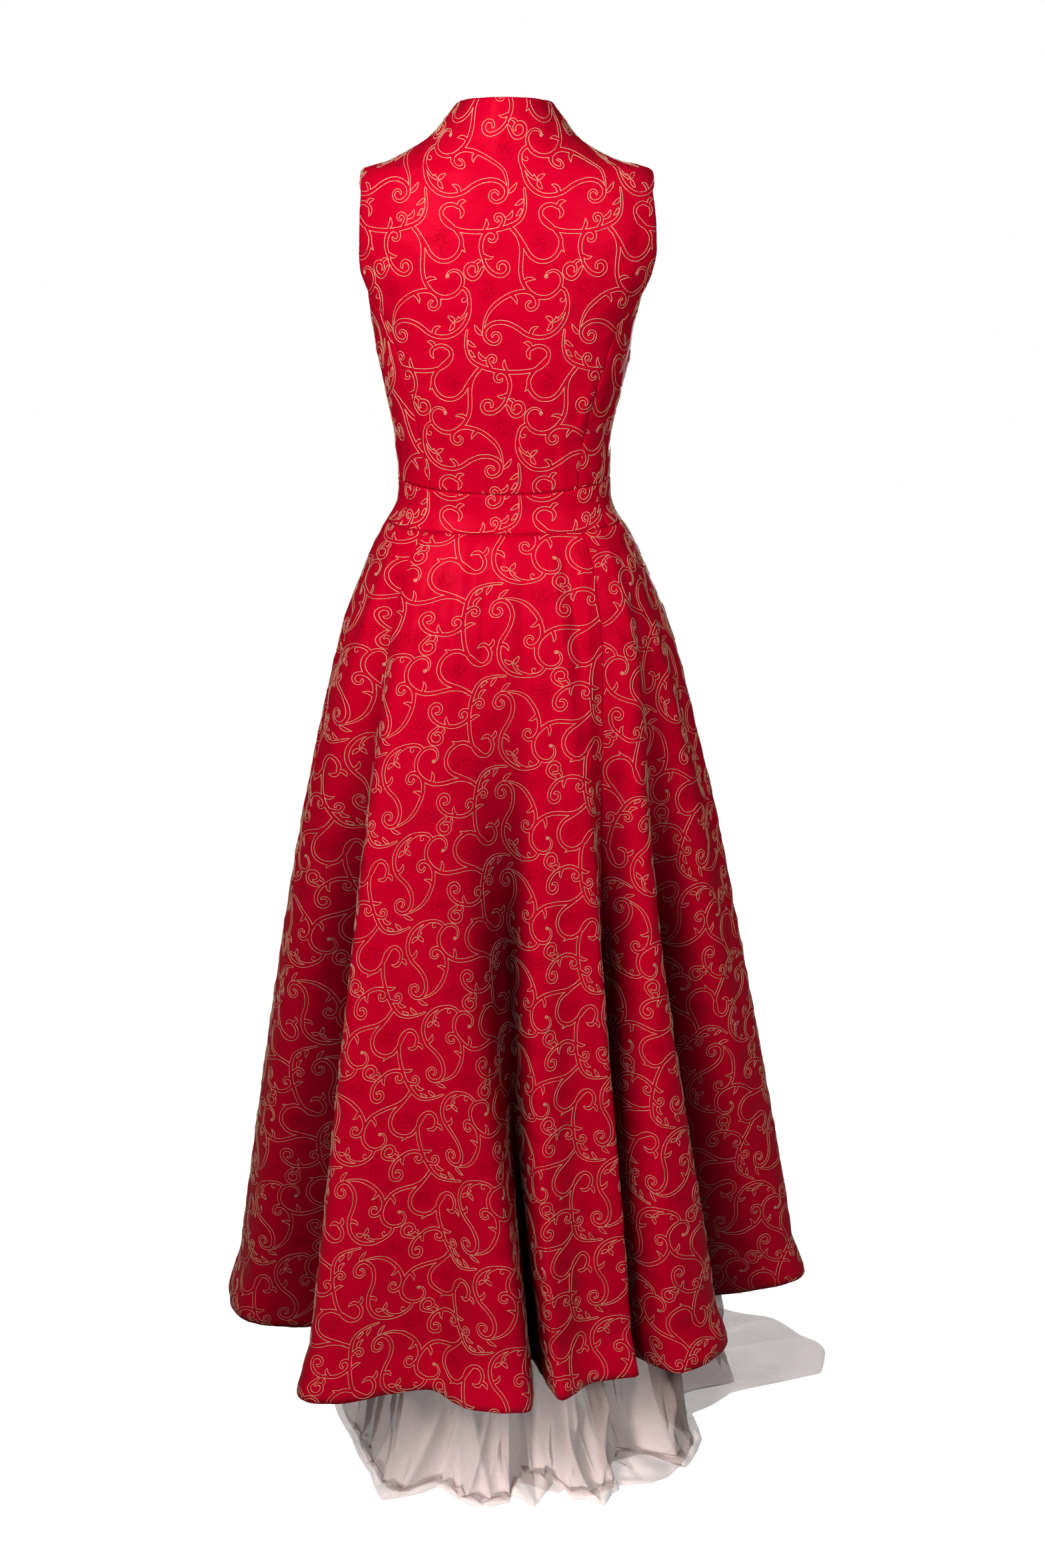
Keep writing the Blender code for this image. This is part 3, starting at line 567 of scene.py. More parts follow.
def makeTulle():
    # Fine knitted nylon tulle: a sheer dull ivory mesh with a faint pink cast, denser where it
    # doubles. Its holes are drawn twice as wide as they are so that they show.
    look = {"ivory": "#E6CDC8", "shade": "#C8AEA8", "clear": 0.28, "dense": 0.54, "hole": 0.0022}
    material, tree, shader = startMaterial(
        "ivory tulle", Base_Color=fromSrgb(look["ivory"]), Roughness=0.95, Alpha=0.45,
        Specular_IOR_Level=0.1, Sheen_Weight=0.35, Sheen_Roughness=0.7)
    place = clothMap(tree)
    holes = addNode(tree, "ShaderNodeTexVoronoi",
                    {"Vector": place, "Scale": 1 / look["hole"], "Randomness": 0.15},
                    feature="DISTANCE_TO_EDGE", voronoi_dimensions="2D").outputs["Distance"]
    threads = addNode(tree, "ShaderNodeMapRange",
                      {"Value": holes, "From Min": 0.16, "From Max": 0.07})
    cloud = addNode(tree, "ShaderNodeTexNoise", {"Vector": place, "Scale": 9.0, "Detail": 3.0},
                    noise_dimensions="2D")
    meshPart = addNode(tree, "ShaderNodeMath", (threads, 0.8), operation="MULTIPLY")
    cloudPart = addNode(tree, "ShaderNodeMath", (cloud, 0.35), operation="MULTIPLY")
    thickness = addNode(tree, "ShaderNodeMath", (meshPart, cloudPart), operation="ADD")
    sheer = addNode(tree, "ShaderNodeMapRange",
                    {"Value": thickness, "To Min": look["clear"], "To Max": look["dense"]})
    tree.links.new(sheer.outputs[0], shader.inputs["Alpha"])
    colour = addNode(tree, "ShaderNodeMix",
                     {0: cloud, 6: fromSrgb(look["ivory"]), 7: fromSrgb(look["shade"])},
                     data_type="RGBA", blend_type="MIX").outputs[2]
    tree.links.new(colour, shader.inputs["Base Color"])
    bump = addNode(tree, "ShaderNodeBump",
                   {"Height": threads, "Strength": 0.3, "Distance": 0.0003}).outputs[0]
    tree.links.new(bump, shader.inputs["Normal"])
    return material


def unevenGloss(tree, shader, look):
    # a faint unevenness in how glossy a smooth surface is
    place = addNode(tree, "ShaderNodeTexCoord").outputs["Object"]
    cloud = addNode(tree, "ShaderNodeTexNoise", {"Vector": place, "Scale": look["cloud"]})
    low, high = look["roughness"]
    tone = addNode(tree, "ShaderNodeMapRange", {"Value": cloud, "To Min": low, "To Max": high})
    tree.links.new(tone.outputs[0], shader.inputs["Roughness"])


def makeFloorPaint():
    # Matt paint on a smooth studio floor: it looks evenly white, as if lit from below, and
    # gives the gown little light back
    look = {"paint": "#707070", "roughness": (0.88, 0.92), "cloud": 3.0}
    material, tree, shader = startMaterial("matt white floor", Base_Color=fromSrgb(look["paint"]),
                                           Roughness=0.9, Specular_IOR_Level=0.0)
    unevenGloss(tree, shader, look)
    glow = addNode(tree, "ShaderNodeEmission", {"Color": (1, 1, 1, 1), "Strength": 1.0})
    both = addNode(tree, "ShaderNodeAddShader", (shader, glow))
    seen = addNode(tree, "ShaderNodeLightPath").outputs["Is Camera Ray"]
    mix = addNode(tree, "ShaderNodeMixShader", (seen, shader, both))
    out = [node for node in tree.nodes if node.bl_idname == "ShaderNodeOutputMaterial"][0]
    tree.links.new(mix.outputs[0], out.inputs[0])
    return material


jacquard = makeJacquard()
gold = makeGold()
tulle = makeTulle()
print("materials made")


# The embroidered scroll, drawn flat in millimetres for one repeat.
scroll = {
    "step": 0.5, "outlineStep": 0.45,   # between the points of a middle line and an outline
    "sunk": 0.35,       # an outline stops where it is this far inside another stem or leaf
    # each stem: its nodes as (x, y, heading), curls at its start and end as (side, radius,
    # sweep), and its half width at the start, in the middle and at the end
    "stems": {
        "wave": (((37, 34, 180), (24, 47, 88), (43, 61, 0), (71, 50, -38), (98, 42, 5),
                  (127, 77, 92), (114, 103, 178)), (1, 8.5, 300), None, (1.4, 2.5, 2.0)),
        "comma": (((88, 84, 92), (69, 99, 182), (34, 82, 224), (23, 45, -84)),
                  (-1, 8.5, 300), None, (1.4, 2.5, 0.6)),
        "trunk": (((2, 52, -97), (4, 18, -64), (30, 2, -16), (70, -2, 2), (106, 21, 92),
                   (94, 31, 176), (82, 26, 222)), None, None, (1.2, 2.5, 2.2)),
        "hook": (((20, 3, 214), (6, -28, -88), (1, -66, -124), (-25, -82, 178),
                  (-46, -61, 88), (-34, -49, -4), (-26, -55, -84)), None, None, (2.5, 2.5, 1.2)),
        "loop": (((18, 3, 232), (0, -24, -118), (-21, -38, 180), (-43, -15, 92),
                  (-33, 3, 50), (-19, 18, 64)), None, None, (2.4, 2.5, 2.0)),
        "anchor": (((51, -44, 84), (57, -20, 90), (45, -1, 178)), None, (1, 8, 285),
                   (2.0, 2.4, 1.4)),
        "anchorNear": (((54, -33, -104), (46, -48, -134), (31, -55, 180)), None, (-1, 10, 335),
                       (1.6, 2.4, 1.5)),
        "anchorFar": (((53, -44, -62), (66, -59, 2)), None, (1, 11, 335), (1.8, 2.4, 1.5)),
        "sprout": (((34, 2, 128), (28, 13, 92)), None, (-1, 6.5, 320), (2.2, 1.9, 1.2)),
        "budStem": (((126, 89, -94), (121, 69, -128), (109, 61, 192)), None, None,
                    (0.5, 1.5, 1.2)),
    },
    # leaves and petals: base, tip, how far they bow to the left, and half width
    "leaves": ((22, 45, 11, 58, 1.5, 2.6), (50, 96, 62, 83, 3.0, 2.6), (83, 44, 92, 55, 3.5, 2.8),
               (3, 38, 14, 30, -1.0, 2.4), (6, 26, 13, 17, -1.5, 2.3), (27, 14, 17, 24, 3.0, 2.6),
               (54, 0, 50, 14, 2.5, 2.6), (3, -64, -13, -60, -3.0, 2.6),
               (-43, -12, -48, -27, 2.0, 2.4), (53, -29, 41, -32, 3.0, 2.5),
               (56, -37, 64, -45, 3.0, 2.2),
               (84, 28, 74, 35, -3.0, 2.8), (84, 29, 83, 14, -4.0, 2.8),
               (109, 61, 100, 68, -1.0, 2.9), (108, 60, 103, 50, 1.5, 2.9),
               (110, 61, 113, 68, -2.0, 2.0)),
    # small single-line curls: two nodes and a curl
    "tendrils": (((122, 95, -66), (123, 89, -92), (-1, 4.2, 300)),),
    "knots": ((-26, -56, 2.6),),
}


def turnOf(heading):
    angle = np.radians(heading)
    return np.array([np.cos(angle), np.sin(angle)])


def curlFrom(point, heading, side, radius, sweep):
    # a tightening spiral that leaves a point in a direction
    steps = max(int(sweep / 6), 4)
    points = [np.array(point, float)]
    for step in range(steps):
        share = (step + 0.5) / steps
        reach = radius * (1 - 0.68 * share)
        heading += side * sweep / steps
        points.append(points[-1] + turnOf(heading) * reach * np.radians(sweep / steps))
    return points[1:]


def stemLine(nodes, startCurl, endCurl):
    points = []
    for (x0, y0, h0), (x1, y1, h1) in zip(nodes[:-1], nodes[1:]):
        a = np.array((x0, y0), float)
        b = np.array((x1, y1), float)
        pull = np.linalg.norm(b - a)
        bend = abs((h1 - h0 + 180) % 360 - 180)
        pull *= 1.0 + 0.55 * (bend / 180) ** 2
        for t in np.linspace(0, 1, 24, endpoint=False):
            points.append((2 * t ** 3 - 3 * t ** 2 + 1) * a + (3 * t ** 2 - 2 * t ** 3) * b
                          + (t ** 3 - 2 * t ** 2 + t) * turnOf(h0) * pull
                          + (t ** 3 - t ** 2) * turnOf(h1) * pull)
    points.append(np.array(nodes[-1][:2], float))
    if startCurl:
        back = curlFrom(nodes[0][:2], nodes[0][2] + 180, *startCurl)
        points = back[::-1] + points
    if endCurl:
        points = points + curlFrom(nodes[-1][:2], nodes[-1][2], *endCurl)
    return evenLine(np.array(points), scroll["step"])


def evenLine(points, step):
    length = runLength(points)
    at = np.linspace(0, length[-1], max(int(length[-1] / step), 2) + 1)
    return np.stack([np.interp(at, length, points[:, k]) for k in (0, 1)], axis=1)


def leafLine(x0, y0, x1, y1, bow):
    a = np.array((x0, y0), float)
    b = np.array((x1, y1), float)
    side = np.array((-(b - a)[1], (b - a)[0])) / np.linalg.norm(b - a)
    t = np.linspace(0, 1, 30)[:, None]
    return evenLine(a * (1 - t) + b * t + side * bow * 4 * t * (1 - t), scroll["step"])


def sideways(line):
    way = np.gradient(line, axis=0)
    way = way / np.linalg.norm(way, axis=1, keepdims=True)
    return np.stack([-way[:, 1], way[:, 0]], axis=1)


def scrollBodies():
    # every stem and leaf as its middle line and its half width along it
    bodies = []
    for nodes, startCurl, endCurl, widths in scroll["stems"].values():
        line = stemLine(nodes, startCurl, endCurl)
        at = np.linspace(0, 1, len(line))
        half = np.interp(at, (0, 0.3, 0.7, 1), (widths[0], widths[1], widths[1], widths[2]))
        half = half * np.clip(np.minimum(at, 1 - at) * len(line) / 5, 0, 1) ** 0.5
        bodies.append((line, half))
    for x0, y0, x1, y1, bow, width in scroll["leaves"]:
        line = leafLine(x0, y0, x1, y1, bow)
        at = np.linspace(0, 1, len(line))
        bodies.append((line, width * np.sin(np.pi * at ** 0.85) ** 0.75 * (1 - 0.25 * at)))
    return bodies


def neighbours(line):
    # the same line in the repeats around it, straight and mirrored
    across = pattern["across"] * 1000
    row = pattern["row"] * 1000
    mirror = pattern["mirror"] * 1000
    for n in (-1, 0, 1):
        yield line + (n * across, 0), n == 0
        for k in (-1, 1):
            yield line * (-1, 1) + (mirror + n * across, k * row), False


def thin(line, tolerance, longest):
    # keeps only the points that a line's shape needs
    keep = [0]
    start = 0
    while start < len(line) - 1:
        end = start + 1
        while end + 1 < len(line):
            a = line[start]
            b = line[end + 1]
            span = np.linalg.norm(b - a)
            if span > longest:
                break
            inner = line[start + 1:end + 1] - a
            off = np.abs(inner[:, 0] * (b - a)[1] - inner[:, 1] * (b - a)[0]) / max(span, 1e-6)
            if off.max() > tolerance:
                break
            end += 1
        keep.append(end)
        start = end
    return line[keep]


def drawScroll():
    # the outlines of the stems and leaves, merged where they meet, as one mesh of edges
    bodies = scrollBodies()
    lines = []
    for index, (line, half) in enumerate(bodies):
        side = sideways(line) * half[:, None]
        outline = np.concatenate((line + side, (line - side)[::-1]))
        outline = evenLine(np.concatenate((outline, outline[:1])), scroll["outlineStep"])
        inside = np.zeros(len(outline), bool)
        for other, (otherLine, otherHalf) in enumerate(bodies):
            for copy, same in neighbours(otherLine):
                if same and other == index:
                    continue
                over = (copy.min(0) - 4 > outline.max(0)) | (copy.max(0) + 4 < outline.min(0))
                if over.any():
                    continue
                gap = np.linalg.norm(outline[:, None] - copy[None], axis=2) - otherHalf[None]
                inside |= gap.min(axis=1) < -scroll["sunk"]
        runs = []
        run = []
        for point, hidden in zip(outline, inside):
            if hidden:
                runs.append(run)
                run = []
            else:
                run.append(point)
        runs.append(run)
        if len(runs) > 1 and not inside[0] and not inside[-1]:
            runs[0] = runs.pop() + runs[0]
        lines += [thin(np.array(run), 0.10, 4.5) for run in runs if len(run) > 5]
    for start, end, curl in scroll["tendrils"]:
        lines.append(thin(stemLine((start, end), None, curl), 0.08, 4))
    for x, y, radius in scroll["knots"]:
        for share in (0.85, 0.3):
            angle = np.linspace(0, 2 * np.pi, 9)
            lines.append(np.stack([x + radius * share * np.cos(angle),
                                   y + radius * share * np.sin(angle)], axis=1))
    points = np.concatenate(lines) / 1000
    edges = []
    first = 0
    for line in lines:
        edges += [(first + i, first + i + 1) for i in range(len(line) - 1)]
        first += len(line)
    mesh = bpy.data.meshes.new("scrollLines")
    mesh.from_pydata([(x, y, 0) for x, y in points], edges, [])
    return mesh


def embroideryTree():
    # lays the scroll over a panel: thread along its lines, repeated and mirrored row by row on
    # the cloth's flat map, then carried onto the cloth and cut at its edges
    tree, given = startTree(
        "scroll embroidery", ("Panel", "Object", None),
        ("Repeat across", "Float", pattern["across"]), ("Row height", "Float", pattern["row"]),
        ("Mirror place", "Float", pattern["mirror"]), ("Map span", "Float", pattern["mapSpan"]),
        ("Thread width", "Float", pattern["threadWidth"]),
        ("Thread height", "Float", pattern["threadHeight"]),
        ("First repeat", "Int", -3), ("Repeats", "Int", 6),
        ("First row pair", "Int", -2), ("Row pairs", "Int", 4), ("Thread", "Material", None))
    curve = addNode(tree, "GeometryNodeMeshToCurve", (given["Geometry"],))
    run = addNode(tree, "GeometryNodeSplineParameter").outputs["Length"]
    curve = addNode(tree, "GeometryNodeStoreNamedAttribute",
                    {"Geometry": curve, "Name": "threadRun", "Value": run}, data_type="FLOAT",
                    domain="POINT")
    halfWidth = addNode(tree, "ShaderNodeMath", (given["Thread width"], 0.5), operation="MULTIPLY")
    arc = addNode(tree, "GeometryNodeCurveArc",
                  {"Resolution": 3, "Radius": halfWidth, "Start Angle": np.pi,
                   "Sweep Angle": np.pi}, mode="RADIUS")
    steep = addNode(tree, "ShaderNodeMath", (given["Thread height"], halfWidth), operation="DIVIDE")
    rise = addNode(tree, "ShaderNodeCombineXYZ", (1.0, steep, 1.0))
    profile = addNode(tree, "GeometryNodeTransform", {"Geometry": arc, "Scale": rise})
    thread = addNode(tree, "GeometryNodeCurveToMesh", (curve, profile))
    flipped = addNode(tree, "GeometryNodeTransform", {"Geometry": thread, "Scale": (-1, 1, 1)})
    flipped = addNode(tree, "GeometryNodeFlipFaces", (flipped,))
    joined = addNode(tree, "GeometryNodeJoinGeometry")
    columns = addNode(tree, "ShaderNodeMath", (given["Repeats"], 1.0), operation="SUBTRACT")
    pairs = addNode(tree, "ShaderNodeMath", (given["Row pairs"], 1.0), operation="SUBTRACT")
    pairHeight = addNode(tree, "ShaderNodeMath", (given["Row height"], 2.0), operation="MULTIPLY")
    wide = addNode(tree, "ShaderNodeMath", (columns, given["Repeat across"]), operation="MULTIPLY")
    high = addNode(tree, "ShaderNodeMath", (pairs, pairHeight), operation="MULTIPLY")
    grid = addNode(tree, "GeometryNodeMeshGrid",
                   {"Size X": wide, "Size Y": high, "Vertices X": given["Repeats"],
                    "Vertices Y": given["Row pairs"]})
    firstX = addNode(tree, "ShaderNodeMath", (given["First repeat"], given["Repeat across"]),
                     operation="MULTIPLY")
    firstY = addNode(tree, "ShaderNodeMath", (given["First row pair"], pairHeight),
                     operation="MULTIPLY")
    startX = addNode(tree, "ShaderNodeMath",
                     (firstX, addNode(tree, "ShaderNodeMath", (wide, 0.5), operation="MULTIPLY")),
                     operation="ADD")
    startY = addNode(tree, "ShaderNodeMath",
                     (firstY, addNode(tree, "ShaderNodeMath", (high, 0.5), operation="MULTIPLY")),
                     operation="ADD")
    for mirrored in (False, True):
        if mirrored:
            startX = addNode(tree, "ShaderNodeMath", (startX, given["Mirror place"]),
                             operation="ADD")
            startY = addNode(tree, "ShaderNodeMath", (startY, given["Row height"]), operation="ADD")
        start = addNode(tree, "ShaderNodeCombineXYZ", (startX, startY))
        placed = addNode(tree, "GeometryNodeTransform", {"Geometry": grid, "Translation": start})
        copies = addNode(tree, "GeometryNodeInstanceOnPoints",
                         {"Points": placed, "Instance": flipped if mirrored else thread})
        tree.links.new(copies.outputs[0], joined.inputs[0])
    flat = addNode(tree, "GeometryNodeRealizeInstances", (joined,))
    here = addNode(tree, "GeometryNodeInputPosition")
    perMetre = addNode(tree, "ShaderNodeMath", (1.0, given["Map span"]), operation="DIVIDE")
    toMap = addNode(tree, "ShaderNodeVectorMath", {0: here, "Scale": perMetre}, operation="SCALE")
    toMap = addNode(tree, "ShaderNodeVectorMath", (toMap, (0.5, 0.5, 0)), operation="ADD")
    panel = addNode(tree, "GeometryNodeObjectInfo", {"Object": given["Panel"]},
                    transform_space="ORIGINAL").outputs["Geometry"]
    clothUv = addNode(tree, "GeometryNodeInputNamedAttribute", {"Name": "clothMap"},
                      data_type="FLOAT_VECTOR")

    def onCloth(value):
        return addNode(tree, "GeometryNodeSampleUVSurface",
                       {"Mesh": panel, "Value": value, "Source UV Map": clothUv,
                        "Sample UV": toMap}, data_type="FLOAT_VECTOR")

    spot = onCloth(here)
    normal = onCloth(addNode(tree, "GeometryNodeInputNormal")).outputs["Value"]
    # the painted fold shade of the cloth beneath, carried onto the thread
    depth = addNode(tree, "GeometryNodeInputNamedAttribute", {"Name": "foldShade"},
                    data_type="FLOAT")
    depth = addNode(tree, "GeometryNodeSampleUVSurface",
                    {"Mesh": panel, "Value": depth, "Source UV Map": clothUv, "Sample UV": toMap},
                    data_type="FLOAT").outputs["Value"]
    outsideCloth = addNode(tree, "FunctionNodeBooleanMath", (spot.outputs["Is Valid"],),
                           operation="NOT")
    lift = addNode(tree, "ShaderNodeSeparateXYZ", (here,)).outputs[2]
    raised = addNode(tree, "ShaderNodeVectorMath", {0: normal, "Scale": lift}, operation="SCALE")
    onto = addNode(tree, "ShaderNodeVectorMath", (spot.outputs["Value"], raised), operation="ADD")
    # the cut comes first, and reads the flat place; both readings are captured before it
    keep = addNode(tree, "GeometryNodeStoreNamedAttribute",
                   {"Geometry": flat, "Name": "offCloth", "Value": outsideCloth},
                   data_type="BOOLEAN", domain="POINT")
    keep = addNode(tree, "GeometryNodeStoreNamedAttribute",
                   {"Geometry": keep, "Name": "foldShade", "Value": depth}, data_type="FLOAT",
                   domain="POINT")
    laid = addNode(tree, "GeometryNodeSetPosition", {"Geometry": keep, "Position": onto})
    off = addNode(tree, "GeometryNodeInputNamedAttribute", {"Name": "offCloth"},
                  data_type="BOOLEAN")
    cut = addNode(tree, "GeometryNodeDeleteGeometry", {"Geometry": laid, "Selection": off},
                  domain="POINT", mode="ALL")
    smooth = addNode(tree, "GeometryNodeSetShadeSmooth", {"Geometry": cut})
    done = addNode(tree, "GeometryNodeSetMaterial",
                   {"Geometry": smooth, "Material": given["Thread"]})
    addNode(tree, "NodeGroupOutput", (done,))
    return tree


scrollMesh = drawScroll()
scrollTree = embroideryTree()
print("scroll drawn:", len(scrollMesh.edges), "lengths of thread in a repeat")


def embroider(panel, name, flat):
    # one panel's embroidery, with enough repeats of the scroll to cover the panel's flat shape
    low = flat.reshape(-1, 2).min(axis=0)
    high = flat.reshape(-1, 2).max(axis=0)
    across = pattern["across"]
    pair = pattern["row"] * 2
    left, right, below, above = pattern["reach"]
    firstRepeat = int(np.floor((low[0] - right) / across))
    repeats = int(np.ceil((high[0] + left) / across)) - firstRepeat + 1
    firstPair = int(np.floor((low[1] - above) / pair)) - 1
    pairs = int(np.ceil((high[1] + below) / pair)) - firstPair + 1
    values = {"Panel": panel, "First repeat": firstRepeat, "Repeats": repeats,
              "First row pair": firstPair, "Row pairs": pairs, "Thread": gold}
    mesh = growMesh(name, scrollMesh.copy(), scrollTree, values)
    mesh.name = name
    piece = addObject(name, mesh)
    if "offCloth" in mesh.attributes:
        mesh.attributes.remove(mesh.attributes["offCloth"])
    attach(piece, "root")
    return piece


cloth = {
    "wall": 0.0014, "edgeRoll": 0.0003, "edgeReach": 0.0024,
    "fan": 2.40,        # radians that the whole skirt fills when it lies flat
    "pucker": 0.00035, "seamPucker": 0.00030, "seamPuckerReach": 0.009, "seamGap": 0.0001,
    "gather": 0.0075, "gatherWander": 0.031,    # between the small gathers along a seam
    # how long each wave of the puckers is, its direction in degrees and where it starts
    "puckerWaves": ((0.044, 20, 0.3), (0.037, 75, 1.9), (0.029, 130, 4.1), (0.023, 165, 2.2),
                    (0.019, 50, 5.3), (0.015, 105, 0.9)),
    # soft creases on the body: turn and height at the foot, turn and height at the head,
    # height of the ridge (a trough is negative), half width in degrees
    "bodyCreases": (
        (-13, 0.020, -11, 0.105, -0.0012, 2.6), (-9, 0.018, -8, 0.075, 0.0009, 2.2),
        (12, 0.020, 11, 0.100, -0.0012, 2.4), (16, 0.020, 15, 0.085, 0.0009, 2.4),
        (30, 0.022, 27, 0.110, -0.0013, 2.8), (34, 0.022, 32, 0.120, 0.0010, 2.5),
        (-31, 0.022, -30, 0.100, -0.0011, 2.8), (42, 0.080, 47, 0.180, 0.0016, 3.0),
        (-57, 0.060, -66, 0.190, 0.0012, 4.0), (66, 0.050, 72, 0.180, -0.0012, 4.0),
        (84, 0.100, 88, 0.200, 0.0012, 4.0), (-86, 0.080, -90, 0.200, -0.0012, 4.0),
        (40, 0.255, 56, 0.330, -0.0011, 4.0), (-40, 0.260, -57, 0.335, -0.0011, 4.0),
        (150, 0.022, 148, 0.120, -0.0011, 2.6), (166, 0.020, 166, 0.095, 0.0009, 2.4),
        (183, 0.020, 184, 0.110, -0.0010, 2.4), (208, 0.022, 211, 0.115, 0.0010, 2.8),
        (130, 0.240, 122, 0.320, -0.0012, 4.0), (229, 0.245, 236, 0.320, -0.0012, 4.0),
        (-8, 0.400, -20, 0.448, -0.0009, 6.0), (24, 0.402, 12, 0.440, 0.0008, 6.0),
        (160, 0.385, 172, 0.425, -0.0010, 7.0), (204, 0.385, 192, 0.425, 0.0009, 7.0)),
    # soft gathers and folds on the skirt: turn and height at the head, turn and height at
    # the foot, depth, half width in degrees
    "skirtCreases": (
        (-34, -0.028, -37, -0.330, -0.0035, 3.4), (-22, -0.026, -23, -0.420, 0.0040, 3.6),
        (-10, -0.030, -9, -0.260, -0.0045, 2.8), (3, -0.026, 2, -0.300, 0.0040, 3.0),
        (10, -0.030, 11, -0.340, -0.0040, 2.6), (26, -0.030, 29, -0.420, 0.0040, 3.4),
        (36, -0.028, 33, -0.300, -0.0035, 3.0), (58, -0.030, 60, -0.400, 0.0040, 3.4),
        (80, -0.040, 88, -0.500, -0.0040, 4.0), (97, -0.040, 101, -0.450, 0.0040, 3.6),
        (-62, -0.035, -68, -0.460, 0.0040, 3.6), (-80, -0.040, -88, -0.520, -0.0045, 4.0),
        (-97, -0.040, -103, -0.460, 0.0040, 3.8), (120, -0.030, 121, -0.380, 0.0035, 3.4),
        (146, -0.030, 146, -0.340, 0.0040, 3.2), (168, -0.028, 168, -0.300, -0.0035, 3.0),
        (193, -0.030, 194, -0.340, 0.0040, 3.2), (218, -0.030, 218, -0.360, -0.0035, 3.2),
        (243, -0.030, 243, -0.380, 0.0040, 3.4)),
}


def ridges(table, turn, height):
    # soft uneven troughs and ridges, strongest in their middles
    total = np.zeros(np.broadcast(turn, height).shape)
    for turn0, height0, turn1, height1, rise, width in table:
        part = (height - height0) / (height1 - height0)
        middle = turn0 + (turn1 - turn0) * np.clip(part, 0, 1)
        away = wrapTurn(turn - middle)
        strength = ease(-0.05, 0.25, part) * ease(1.12, 0.45, part)
        wander = 1 + 0.25 * np.sin(part * 9 + turn0)
        total = total + rise * strength * wander * np.exp(-(away / width) ** 2)
    return total


def puckers(flat, size):
    # the slight unevenness that dense stitching gives the cloth, 15 to 45 mm across
    x = flat[..., 0]
    y = flat[..., 1]
    total = np.zeros(x.shape)
    for length, angle, shift in cloth["puckerWaves"]:
        way = x * np.cos(np.radians(angle)) + y * np.sin(np.radians(angle))
        cross = -x * np.sin(np.radians(angle)) + y * np.cos(np.radians(angle))
        bend = 1.3 * np.sin(cross / length * 1.7 + shift)
        total = total + length * np.sin(way / length * 2 * np.pi + bend + shift)
    return total / 0.06 * size


def rollEdges(grid, flat, foot=True, head=True, sides=True):
    # edges that turn in a little towards their seams, gathered very slightly along them
    normal = outward(grid)
    up = runLength(flat)
    over = runLength(flat, 1)
    drop = np.zeros(grid.shape[:2])
    for wanted, away, run in ((foot, up, over), (head, up[-1:] - up, over),
                              (sides, over, up), (sides, over[:, -1:] - over, up)):
        if wanted:
            close = np.exp(-(away / cloth["edgeReach"]) ** 2)
            near = np.exp(-(away / cloth["seamPuckerReach"]) ** 2)
            wander = 2 * np.sin(run / cloth["gatherWander"])
            gather = 0.5 + 0.5 * np.sin(run / cloth["gather"] * 2 * np.pi + wander)
            drop = drop + close * cloth["edgeRoll"] + near * cloth["seamPucker"] * gather
    return grid - normal * drop[..., None]


def buildCloth(name, grid, flat, shade=0.0, closed=False):
    # one panel as an open surface: rows upwards, columns to the right from outside, carrying
    # the cloth's flat map and its painted fold shade
    rows, columns = grid.shape[:2]
    around = columns if closed else columns - 1
    index = np.arange(rows * columns).reshape(rows, columns)
    after = np.roll(index, -1, axis=1)
    faces = np.stack([index[:-1, :around], after[:-1, :around], after[1:, :around],
                      index[1:, :around]], axis=-1).reshape(-1, 4)
    points = grid.reshape(-1, 3) + (0, 0, waistZ)
    mesh = bpy.data.meshes.new(name)
    mesh.from_pydata(points.tolist(), [], faces.tolist())
    layer = mesh.uv_layers.new(name="clothMap")
    if closed:
        flat = np.concatenate((flat, flat[:, -1:] * 2 - flat[:, -2:-1]), axis=1)
    wide = np.arange(rows * flat.shape[1]).reshape(rows, flat.shape[1])
    corners = np.stack([wide[:-1, :around], wide[:-1, 1:around + 1], wide[1:, 1:around + 1],
                        wide[1:, :around]], axis=-1).reshape(-1)
    uv = flat.reshape(-1, 2)[corners] / pattern["mapSpan"] + 0.5
    layer.data.foreach_set("uv", uv.astype(np.float32).ravel())
    # the painted fold shade, stored on the points for the materials to darken with
    depth = mesh.attributes.new("foldShade", "FLOAT", "POINT")
    shades = np.broadcast_to(shade, grid.shape[:2])
    depth.data.foreach_set("value", shades.astype(np.float32).ravel())
    mesh.shade_smooth()
    return addObject(name, mesh)


def thicken(piece, wall):
    shell = piece.modifiers.new("cloth thickness", "SOLIDIFY")
    shell.thickness = wall
    shell.offset = -1
    shell.use_even_offset = False
    shell.use_rim = True


def finishCloth(piece, material, node, wall):
    piece.data.materials.append(material)
    thicken(piece, wall)
    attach(piece, "root")
    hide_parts(node)


def bodiceFlat(grid):
    # cut flat: along each row from the panel's middle, and up its middle column
    middle = grid.shape[1] // 2
    over = runLength(grid, 1)
    over = over - over[:, middle:middle + 1]
    up = runLength(grid[:, middle]) + grid[0, middle, 2]
    return np.stack([over, np.broadcast_to(up[:, None], over.shape)], axis=-1)


panelPlace = {  # where each panel lies on the pattern, in metres, and its turn in degrees
    "bodice_back": (0.049, -0.188, 0), "bodice_front": (0.03, -0.18, 0),
    "bodice_side_right": (0.05, 0.02, 0), "bodice_side_left": (-0.02, 0.03, 0),
    "waistband_back": (0.049, -0.150, 0), "waistband_front": (0.03, -0.150, 0),
    "skirt_back": (-0.283, 0.101, -8), "skirt_side_right": (-0.283, 0.101, 0),
    "skirt_front": (0.04, 0.03, 0), "skirt_side_left": (-0.283, 0.101, 0)}


